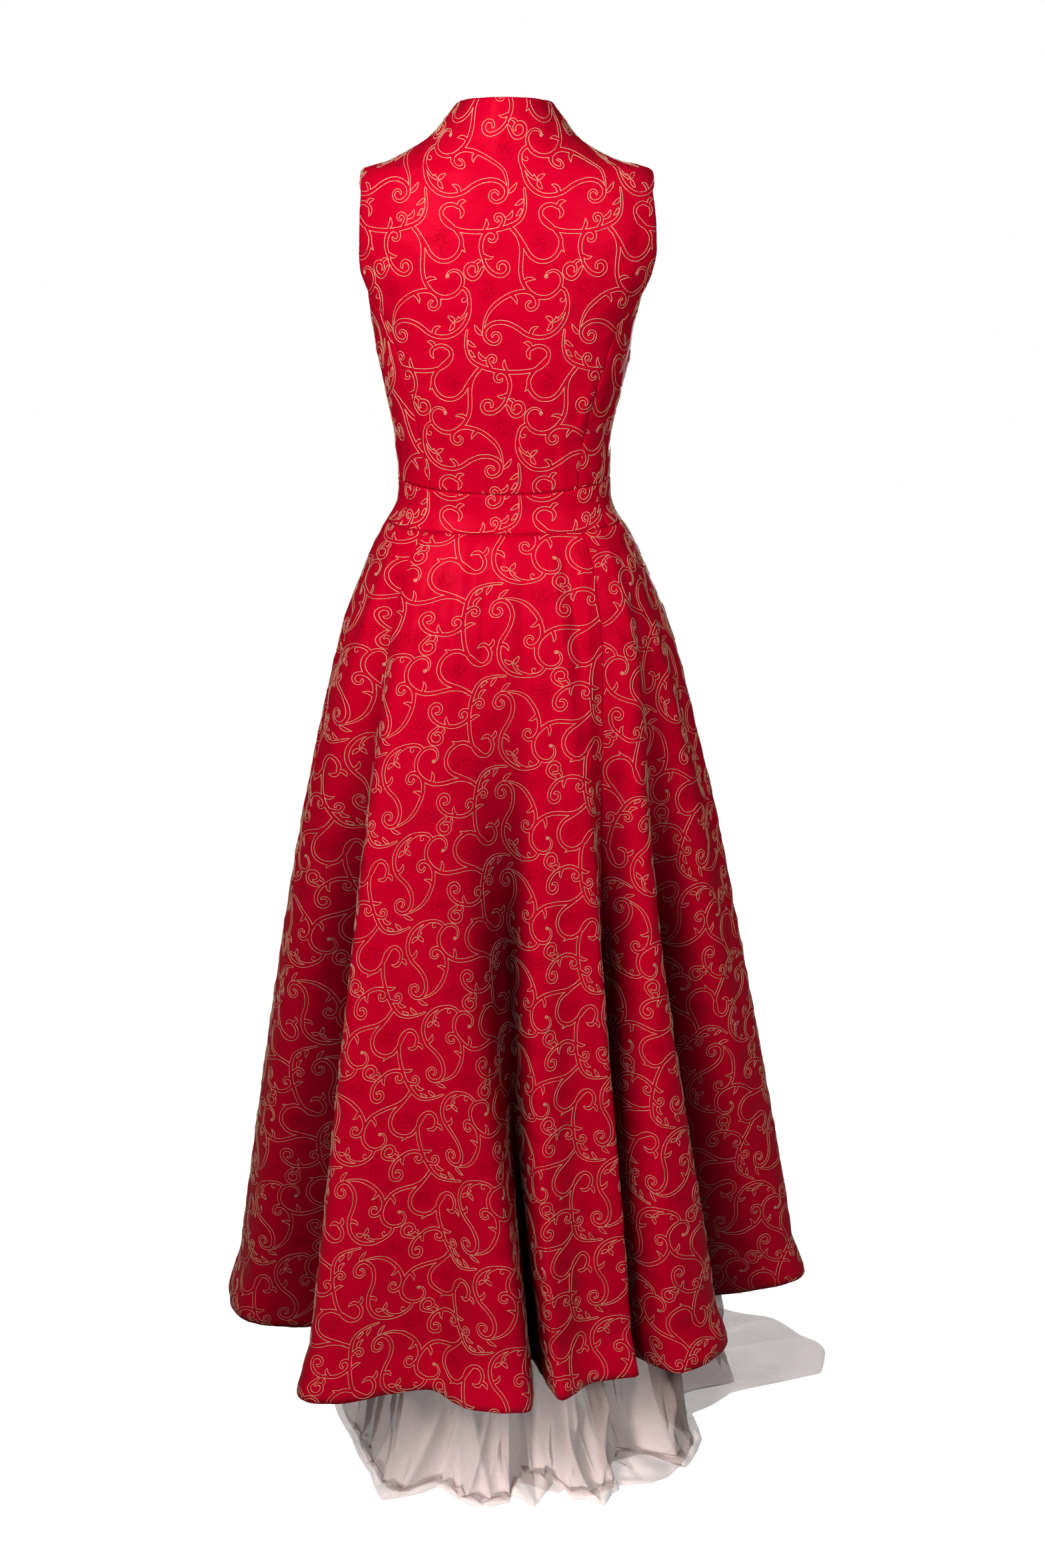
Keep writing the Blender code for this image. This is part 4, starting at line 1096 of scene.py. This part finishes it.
def makePanel(node, grid, flat, edges=(True, True, True), shade=0.0):
    grid = rollEdges(grid, flat, *edges)
    shiftX, shiftY, turn = panelPlace[node]
    turn = np.radians(turn)
    x = flat[..., 0] / pattern["scale"]
    y = flat[..., 1] / pattern["scale"]
    onPattern = np.stack([x * np.cos(turn) - y * np.sin(turn) + shiftX,
                          x * np.sin(turn) + y * np.cos(turn) + shiftY], axis=-1)
    piece = buildCloth("cloth_" + node, grid, onPattern, shade)
    threads = embroider(piece, "embroidery_" + node, onPattern)
    finishCloth(piece, jacquard, node, cloth["wall"])
    return piece


def bodiceHeight(turns, row):
    # a row's height at its turns, bent to the waistband below and to the collar above
    form = torsoForm
    low = form["bandTopCentre"]
    high = form["collarBack"]
    foot = np.clip((form["footBlend"] - row) / (form["footBlend"] - low), 0, 1)
    head = np.clip((row - form["headBlend"]) / (high - form["headBlend"]), 0, 1)
    return row + foot * (bandTop(turns) - low) + head * (collarTop(turns) - high)


def drapeBody(turns, heights):
    grid = torsoPoint(turns, heights)
    normal = outward(grid)
    return grid + normal * ridges(cloth["bodyCreases"], turns, heights)[..., None]


def bodyPuckers(grid, flat, size):
    return grid + outward(grid) * puckers(flat, size)[..., None]


def trim(grid, foot=False, head=False, sides=False):
    # draws a grid's edges back by half a seam's gap
    turned = np.swapaxes(grid, 0, 1)
    for wanted, lines, edge, inner in ((sides, turned, 0, 1), (sides, turned, -1, -2),
                                       (foot, grid, 0, 1), (head, grid, -1, -2)):
        if wanted:
            way = lines[inner] - lines[edge]
            way = way / np.linalg.norm(way, axis=-1, keepdims=True)
            lines[edge] += way * cloth["seamGap"] / 2
    return grid


def makeBodicePanel(node, turns, heights):
    grid = drapeBody(turns, heights)
    flat = bodiceFlat(grid)
    grid = trim(bodyPuckers(grid, flat, cloth["pucker"]), foot=True)
    makePanel(node, grid, flat)


def makeBodiceHalf(node, edge, middle, rowCount, columnCount):
    rows = np.linspace(torsoForm["bandTopCentre"], torsoForm["collarBack"], rowCount)[:, None]
    across = np.linspace(-1, 1, columnCount)[None, :]
    turns = middle + across * readTable(torsoForm["edges"], torsoForm["edgeColumns"], edge, rows)
    makeBodicePanel(node, turns, bodiceHeight(turns, rows))


def makeBodiceSide(node, side, rowCount, columnCount):
    form = torsoForm
    rows = np.linspace(form["bandTopCentre"], form["armholeSeam"], rowCount)[:, None]
    across = np.linspace(0, 1, columnCount)[None, :]
    backEdge = readTable(form["edges"], form["edgeColumns"], "backTurn", rows)
    frontEdge = 180 - readTable(form["edges"], form["edgeColumns"], "frontTurn", rows)
    turns = backEdge + (frontEdge - backEdge) * across
    up = (rows - rows[0]) / (form["armholeSeam"] - rows[0])
    away = (turns[-1:] - 90) / 20
    foot = form["armholeFoot"] + (form["armholeSeam"] - form["armholeFoot"]) * away ** 2
    heights = bodiceHeight(turns, rows[0] + (foot - rows[0]) * up)
    if side < 0:
        turns = -turns[:, ::-1]
        heights = heights[:, ::-1]
    makeBodicePanel(node, turns, heights)


def makeWaistband(node, start, end, rowCount, columnCount):
    turns = np.linspace(start, end, columnCount)[None, :]
    up = np.linspace(0, 1, rowCount)[:, None]
    low = torsoForm["bandBottom"]
    heights = low + (bandTop(turns) - low) * up
    turns = np.broadcast_to(turns, heights.shape)
    grid = torsoPoint(turns, heights)
    flat = bodiceFlat(grid)
    grid = bodyPuckers(grid, flat, cloth["pucker"] * 0.8)
    grid = trim(grid, foot=True, head=True, sides=True)
    makePanel(node, grid, flat)


def clothAngle(turn):
    # the angle in the flat cut, from the centre back, that a turn at the hem stands for
    fine, length = clothLine(0, 360, skirtForm["hem"])
    angle = np.interp(turn % 360, fine, length) / length[-1] * cloth["fan"]
    return angle - cloth["fan"] if angle > cloth["fan"] / 2 else angle


def makeGore(node, startSeam, endSeam, ownGrain=False, rowCount=110, columnCount=130):
    hem = skirtForm["hem"]
    start = np.array(skirtForm["seams"][startSeam])
    end = np.array(skirtForm["seams"][endSeam])
    if end[0] < start[0]:
        end = end + 360
    heights = np.linspace(hem, torsoForm["bandBottom"], rowCount)
    turns = np.array([evenTurns(along(start, h), along(end, h), columnCount, h) for h in heights])
    heights = np.broadcast_to(heights[:, None], turns.shape)
    grid = skirtPoint(turns, heights)
    grid = grid + outward(grid) * ridges(cloth["skirtCreases"], turns, heights)[..., None]
    first = clothAngle(start[2])
    span = (clothAngle(end[2]) - first) % cloth["fan"]
    if ownGrain:
        first = -span / 2
    angle = np.linspace(first, first + span, columnCount)[None, :]
    drop = np.linalg.norm(np.diff(grid, axis=0), axis=2).mean(axis=1)
    hemReach = clothLine(0, 360, hem)[1][-1] / cloth["fan"]
    reach = (hemReach - np.concatenate(([0], np.cumsum(drop))))[:, None]
    flat = np.stack([reach * np.cos(angle), reach * np.sin(angle)], axis=-1)
    grid = bodyPuckers(grid, flat, cloth["pucker"] * 1.5)
    grid = trim(grid, head=True, sides=True)
    # the skirt's cloth carries painted fold shade in its valleys
    makePanel(node, grid, flat,
              (False, True, True), foldShade(turns, heights))


makeBodiceHalf("bodice_back", "backTurn", 0, 120, 90)
makeBodiceHalf("bodice_front", "frontTurn", 180, 120, 90)
makeBodiceSide("bodice_side_right", 1, 60, 45)
makeBodiceSide("bodice_side_left", -1, 60, 45)
makeWaistband("waistband_back", -torsoForm["bandSeam"], torsoForm["bandSeam"], 14, 110)
makeWaistband("waistband_front", torsoForm["bandSeam"], 360 - torsoForm["bandSeam"], 14, 150)
makeGore("skirt_back", "leftBack", "rightBack")
makeGore("skirt_side_right", "rightBack", "rightFront")
makeGore("skirt_front", "rightFront", "leftFront", ownGrain=True)
makeGore("skirt_side_left", "leftFront", "leftBack")
print("cloth and embroidery made")


def insideReach(turn, height):
    # the furthest out that a smooth ring inside the flutes can lie
    window = netForm["window"]
    steps = np.linspace(-window, window, 15)
    inner = np.min([skirtReach(turn + step, height) for step in steps], axis=0)
    soft = [np.min([skirtReach(turn + shift + step, height) for step in steps], axis=0)
            for shift in (-window / 2, window / 2)]
    return (2 * inner + np.maximum(inner, soft[0]) + np.maximum(inner, soft[1])) / 4


netFolds = (  # crisp folds of the falling net: turn above, turn below, rise, half width
    (-47, -57, 0.012, 2.2), (-40, -34, 0.012, 1.8), (-33, -44, 0.016, 2.2),
    (-27, -37, 0.018, 2.4), (-24, -15, 0.014, 1.4), (-18, -30, 0.018, 2.0),
    (-13, -4, 0.016, 1.6), (-9, -21, 0.016, 1.6), (-5, 2, 0.014, 1.4), (-1, -12, 0.014, 1.4),
    (3, 3, 0.022, 1.8), (6, 10, 0.020, 1.3), (8, 18, 0.014, 1.8), (13, 25, 0.018, 2.2),
    (20, 14, 0.012, 1.5), (22, 34, 0.016, 2.2), (28, 42, 0.018, 2.4), (35, 29, 0.012, 1.6),
    (39, 51, 0.016, 2.6), (50, 61, 0.016, 2.6), (59, 52, 0.012, 2.2),
    (70, 76, 0.014, 3.0), (90, 95, 0.014, 3.4), (112, 108, 0.014, 3.2), (131, 138, 0.014, 3.4),
    (152, 149, 0.014, 3.2), (170, 176, 0.014, 3.4), (193, 189, 0.014, 3.2),
    (214, 220, 0.014, 3.4), (236, 232, 0.014, 3.2), (255, 260, 0.014, 3.2),
    (274, 270, 0.014, 3.2), (292, 297, 0.014, 2.8))


def sharpFolds(turns, part, depth):
    # narrow ridges that lean as they fall, with soft hollows between them
    total = np.zeros(np.broadcast(turns, part).shape)
    for above, below, rise, width in netFolds:
        middle = above + (below - above) * part + netForm["foldShift"] * depth
        away = np.abs(wrapTurn(turns - middle))
        total = total + rise * (np.exp(-away / width) - 0.35 * np.exp(-(away / width / 3) ** 2))
    return total * np.clip(part * 2.5, 0, 1)


def netGrid(depth, turns):
    # a layer of net, from its landing on the floor up to the waistband, rows upwards
    form = netForm
    wall = form["wall"]
    top = torsoForm["bandBottom"]
    turns = turns[None, :]
    hung = smoothTable(np.arange(6), form["rows"], np.linspace(0, 5, 40))[:, None]
    start = (skirtReach(turns, hung) - form["cloth"] - form["between"]
             - depth * (wall + form["between"]))
    grown = np.clip((top - hung) / (top - form["rows"][-1]), 0, 1)
    free = roundTable(form["hang"], form["hangColumns"], "reach", turns)
    free = start[:1] + (free - start[:1]) * grown ** form["hangShape"]
    inside = insideReach(turns, hung) - form["cloth"] - form["clear"]
    inside = np.minimum(inside, free) - depth * form["layerGap"]
    drop = np.clip((top - hung) / form["freeBy"], 0, 1)
    reach = start + (np.minimum(inside, start) - start) * drop
    leave = reach[-1:]
    # the edge runs straight between its corners
    ends = [roundTable(form["floor"], form["floorColumns"], name, turns, smooth=False)
            for name in ("upper", "under")]
    landing = np.minimum(ends[0], ends[1]) - form["landing"] - depth * form["layerGap"]
    landing = np.maximum(landing, leave + form["landing"])
    fall = np.linspace(0, 1, 26)[1:, None]
    bottom = form["floorHeight"] + (2 - depth) * wall + (1.5 - depth) * form["underLayer"]
    fallReach = leave + (landing - leave) * fall ** form["fallShape"]
    fallHeights = bottom + (hung[-1] - bottom) * (1 - fall) ** form["dropShape"]
    spread = np.linspace(0, 1, 15)[1:, None]
    far = np.maximum(ends[depth], landing + form["landing"] / 2)
    floorReach = landing + (far - landing) * spread
    # hanging folds deepen downwards, and flatten into rumples on the floor
    phase = 0.9 * depth

    def folds(lean):
        wave = (np.sin(np.radians(turns * 17) + 1.6 * np.sin(np.radians(turns * 3) + phase) + lean)
                + 0.6 * np.sin(np.radians(turns * 29) + 1.1 * np.sin(np.radians(turns * 5) + 2)
                               - 1.7 * lean))
        return np.abs(wave) ** 0.7 * np.sign(wave)

    sway = 2.2 * np.sin(np.radians(turns * 2) + 0.6)
    hungFold = folds(0) * form["ripple"] * ease(-0.10, -0.90, hung)
    grow = form["swing"] * np.sin(np.pi * fall * 0.9) * (1 - 0.8 * fall)
    fallFold = folds(sway * fall) * (form["ripple"] + grow)
    troughs = np.minimum(ridges(cloth["skirtCreases"], turns, hung), 0) - form["between"]
    fallFold = fallFold * 0.6 + sharpFolds(turns, fall, depth)
    reach = np.concatenate((reach + hungFold + troughs, fallReach + fallFold, floorReach))[::-1]
    onFloor = folds(sway + 1.5 * spread)
    ruffle = 0.5 + 0.5 * np.sin(np.radians(turns * 23) + 2 * np.sin(np.radians(turns * 7)) + phase)
    pleat = sharpFolds(turns, 1 + spread, depth) * np.clip(1.15 - spread, 0, 1) * 0.6
    hump = np.abs(onFloor) * form["rumple"] * np.sin(np.pi * spread) ** 0.7
    frill = ruffle * form["rumple"] * spread ** 2 * ease(0.0, 0.1, far - landing)
    rumple = (np.maximum(pleat, 0) + hump + frill) * (1 - 0.8 * depth)
    heights = np.concatenate((hung + 0 * turns, fallHeights + 0 * turns, bottom + rumple))[::-1]
    angle = np.radians(turns)
    return np.stack([reach * np.sin(angle), -reach * np.cos(angle), heights], axis=-1)


def makeNet(node, depth, start, end, columnCount):
    # one layer all the way round, or one panel of it from seam to seam
    closed = end - start == 360
    turns = np.linspace(start, end, columnCount + 1)
    if closed:  # columns lie closer at the back
        turns = turns - netForm["columnPull"] * np.sin(np.radians(turns))
    grid = netGrid(depth, turns[:-1] if closed else turns)
    if not closed:
        grid = trim(grid, sides=True)
    ring = np.concatenate((grid, grid[:, :1]), axis=1) if closed else grid
    over = runLength(grid, 1)
    up = runLength(grid)
    widths = runLength(ring, 1)[:, -1]
    flat = np.stack([over - over[:, -1:] / 2, up - 0.7], axis=-1)
    piece = buildCloth("tulle_" + node, grid, flat, closed=closed)
    piece.data.materials.append(tulle)
    thicken(piece, netForm["mesh"])
    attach(piece, "root")
    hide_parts(node)


makeNet("net_upper", 0, -180, 180, 420)
makeNet("net_under_left", 1, -132, -42, 90)
makeNet("net_under_back", 1, -42, 48, 180)
makeNet("net_under_right", 1, 48, 138, 90)
makeNet("net_under_front", 1, 138, 228, 90)
print("net made")


# The concealed zip inside the left front seam, closed.
zipLook = {"red": "#8E0016", "halfWidth": 0.009, "wall": 0.0009, "gap": 0.0014, "low": -0.0065,
           "high": 0.194, "toothPitch": 0.0014, "tooth": 0.0011, "rib": 0.0012,
           "coarse": 6.3, "coilLift": 0.0007}


def makeZipTape():
    # Woven polyester zip tape: matt and close-ribbed along its length. The ribs are drawn twice
    # as coarse as they are so that they show.
    material, tree, shader = startMaterial("red woven zip tape",
                                           Base_Color=fromSrgb(zipLook["red"]), Roughness=0.7,
                                           Sheen_Weight=0.15)
    place = clothMap(tree)
    ribs = addNode(tree, "ShaderNodeTexWave",
                   {"Vector": place, "Scale": 1 / zipLook["rib"] / zipLook["coarse"]},
                   bands_direction="X").outputs["Fac"]
    bump = addNode(tree, "ShaderNodeBump",
                   {"Height": ribs, "Strength": 0.4, "Distance": 0.0003}).outputs[0]
    tree.links.new(bump, shader.inputs["Normal"])
    return material


def makeCoilNylon():
    # Moulded nylon coil: smooth, with a slight gloss
    look = {"red": "#9A0018", "roughness": (0.28, 0.45), "cloud": 900.0}
    material, tree, shader = startMaterial("red nylon coil", Base_Color=fromSrgb(look["red"]),
                                           Roughness=0.35)
    unevenGloss(tree, shader, look)
    return material


def makeLacquer():
    # Lacquered cast zinc: hard, smooth and glossy, with a clear coat
    look = {"red": "#A00018", "roughness": (0.24, 0.42), "cloud": 700.0}
    material, tree, shader = startMaterial("red lacquered zinc", Base_Color=fromSrgb(look["red"]),
                                           Roughness=0.3, Coat_Weight=0.4)
    unevenGloss(tree, shader, look)
    return material


def zipPoint(across, height):
    # a place on the zip, in metres to the right of its coil
    seam = readTable(torsoForm["edges"], torsoForm["edgeColumns"], "frontTurn", height) - 180
    reach = readTable(torsoForm["rings"], torsoForm["columns"], "half", height)
    return torsoPoint(seam + np.degrees(across / reach), height + 0 * across)


def toothTree():
    # teeth at even steps along the zip's line, turned to follow it
    tree, given = startTree("zip coil", ("Pitch", "Float", zipLook["toothPitch"]),
                            ("Tooth", "Float", zipLook["tooth"]), ("Finish", "Material", None))
    curve = addNode(tree, "GeometryNodeMeshToCurve", (given["Geometry"],))
    points = addNode(tree, "GeometryNodeCurveToPoints", {"Curve": curve, "Length": given["Pitch"]},
                     mode="LENGTH")
    wide = addNode(tree, "ShaderNodeMath", (given["Tooth"], 3.2), operation="MULTIPLY")
    thick = addNode(tree, "ShaderNodeMath", (given["Tooth"], 0.45), operation="MULTIPLY")
    size = addNode(tree, "ShaderNodeCombineXYZ", (wide, given["Tooth"], thick))
    tooth = addNode(tree, "GeometryNodeMeshCube", {"Size": size})
    placed = addNode(tree, "GeometryNodeInstanceOnPoints",
                     {"Points": points, "Instance": tooth, "Rotation": points.outputs["Rotation"]})
    real = addNode(tree, "GeometryNodeRealizeInstances", (placed,))
    done = addNode(tree, "GeometryNodeSetMaterial", {"Geometry": real, "Material": given["Finish"]})
    addNode(tree, "NodeGroupOutput", (done,))
    return tree


def makeZip():
    rows = np.linspace(zipLook["low"], zipLook["high"], 40)[:, None]
    across = np.linspace(-1, 1, 9)[None, :] * zipLook["halfWidth"]
    grid = zipPoint(across, rows)
    inward = outward(grid)
    grid = grid - inward * (cloth["wall"] + zipLook["gap"])
    flat = bodiceFlat(grid)
    tape = buildCloth("zip_tape", grid, flat)
    lift = zipLook["wall"] + zipLook["coilLift"]
    line = grid[:, 4] - inward[:, 4] * lift + (0, 0, waistZ)
    path = bpy.data.meshes.new("zipLine")
    path.from_pydata(line.tolist(), [(i, i + 1) for i in range(len(line) - 1)], [])
    coil = addObject("zip_coil", growMesh("zipCoilMaker", path, toothTree(),
                                          {"Finish": makeCoilNylon()}))
    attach(coil, "root")
    finishCloth(tape, makeZipTape(), "side_zip", zipLook["wall"])


slider = {  # plates as outlines across and up from the slider's middle, and depths from the tape
    "below": 0.006,     # how far the slider's middle is below the zip's head
    "shield": ((-0.0026, -0.0045), (-0.0038, 0.0045), (-0.0015, 0.0052), (0.0015, 0.0052),
               (0.0038, 0.0045), (0.0026, -0.0045)),
    "shieldDepth": (0.0002, 0.0030),
    "bridge": ((-0.0008, -0.0040), (-0.0008, 0.0035), (0.0008, 0.0035), (0.0008, -0.0040)),
    "bridgeDepth": (0.0029, 0.0044),
    "tab": (0.0052, 0.022, -0.0120), "tabHole": (0.0024, 0.009, -0.0165),   # width, height, middle
    "tabDepth": (0.0045, 0.0053),
}


def makeSlider():
    # the closed slider at the head of the coil, with its pull tab hanging inside the gown
    middle = zipLook["high"] - slider["below"]
    head = np.array([middle, middle - 0.020])[:, None]
    ends = zipPoint(np.array([[0, 0.003]]), head)
    up = ends[0, 0] - ends[1, 0]
    up = up / np.linalg.norm(up)
    side = ends[0, 1] - ends[0, 0]
    side = side - up * (side @ up)
    side = side / np.linalg.norm(side)
    into = -np.cross(side, up)
    inside = cloth["wall"] + zipLook["gap"] + zipLook["wall"]
    start = ends[0, 0] + (0, 0, waistZ) + into * inside
    points, faces = [], []

    def plate(outline, depths, hole=None):
        # a flat plate between two depths, with or without a hole
        near, far = depths
        first = len(points)
        rings = [(outline, near), (outline, far)] + ([(hole, far), (hole, near)] if hole else [])
        count = len(outline)
        for ring, depth in rings:
            points.extend(start + side * x + up * y + into * depth for x, y in ring)
        for i in range(len(rings) if hole else 1):
            a = first + i * count
            b = first + (i + 1) % len(rings) * count
            faces.extend((a + (k + 1) % count, a + k, b + k, b + (k + 1) % count)
                         for k in range(count))
        if not hole:
            faces.append(tuple(range(first, first + count)))
            faces.append(tuple(range(first + 2 * count - 1, first + count - 1, -1)))

    def oval(width, height, centre):
        steps = np.radians(np.arange(0, 360, 15))
        return [(width / 2 * np.sin(s), centre + height / 2 * np.cos(s)) for s in steps]

    plate(slider["shield"], slider["shieldDepth"])
    plate(slider["bridge"], slider["bridgeDepth"])
    plate(oval(*slider["tab"]), slider["tabDepth"], oval(*slider["tabHole"]))
    mesh = bpy.data.meshes.new("zip_slider")
    mesh.from_pydata([tuple(map(float, point)) for point in points], [], faces)
    shape = bmesh.new()
    shape.from_mesh(mesh)
    bmesh.ops.recalc_face_normals(shape, faces=shape.faces)
    shape.to_mesh(mesh)
    shape.free()
    piece = addObject("zip_slider", mesh)
    mesh.materials.append(makeLacquer())
    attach(piece, "root")


makeSlider()
makeZip()
print("zip made")


studio = {
    "camera": (0.0227, -2.412, 0.069), "pitch": 19.1, "lens": 45.92,
    # each light: its place, what it points at, its width, its power and its spread in degrees
    "lights": {
        "key": ((-1.00, -1.70, 0.80), (0.0, 0.0, 0.08), 0.7, 43.0, 180),
        "fill": ((1.3, -2.2, 0.80), (0.0, 0.0, -0.35), 0.8, 30.0, 180),
        "low": ((-0.75, -1.75, -1.40), (0.06, -0.35, -1.99), 0.35, 4.8, 28),
        "top": ((0.0, 0.4, 2.2), (0.0, 0.0, -0.4), 1.6, 0.6, 180),
        "front": ((0.4, 2.6, -0.7), (0.0, 0.0, -0.9), 1.2, 36.0, 180)},
    "ambient": 0.02, "floorHalf": 6.0, "floorGap": 0.0005,
}


def makeStudio():
    camera = addObject("camera", bpy.data.cameras.new("camera"))
    camera.data.lens = studio["lens"]
    camera.data.sensor_width = 36
    camera.data.clip_end = 30
    camera.location = studio["camera"]
    camera.rotation_euler = (np.radians(90 - studio["pitch"]), 0, 0)
    bpy.context.scene.camera = camera
    bpy.context.scene.view_settings.view_transform = "Standard"
    for name, (place, aim, size, power, spread) in studio["lights"].items():
        light = addObject(name, bpy.data.lights.new(name, "AREA"))
        light.data.shape = "DISK"
        light.data.size = size
        light.data.energy = power
        light.data.spread = np.radians(spread)
        light.location = place
        way = np.array(aim) - np.array(place)
        flatWay = float(np.hypot(way[0], way[1]))
        light.rotation_euler = (np.pi / 2 + float(np.arctan2(way[2], flatWay)), 0,
                                float(np.arctan2(-way[0], way[1])))
    world = bpy.data.worlds.new("studio")
    bpy.context.scene.world = world
    world.use_nodes = True
    tree = world.node_tree
    tree.nodes.clear()
    seen = addNode(tree, "ShaderNodeBackground", {"Color": (1, 1, 1, 1), "Strength": 1.0})
    light = addNode(tree, "ShaderNodeBackground",
                    {"Color": (1, 1, 1, 1), "Strength": studio["ambient"]})
    ray = addNode(tree, "ShaderNodeLightPath").outputs["Is Camera Ray"]
    mix = addNode(tree, "ShaderNodeMixShader", (ray, light, seen))
    addNode(tree, "ShaderNodeOutputWorld", (mix,))
    floorZ = waistZ + netForm["floorHeight"] - studio["floorGap"]
    mesh = bpy.data.meshes.new("floor")
    half = studio["floorHalf"]
    mesh.from_pydata([(-half, -half, floorZ), (half, -half, floorZ), (half, half, floorZ),
                      (-half, half, floorZ)], [], [(0, 1, 2, 3)])
    mesh.materials.append(makeFloorPaint())
    floor = addObject("floor", mesh)


makeStudio()
bpy.data.meshes.remove(scrollMesh)
for left in [m for m in bpy.data.meshes if m.users == 0]:
    bpy.data.meshes.remove(left)
bpy.context.view_layer.update()
print("studio set")
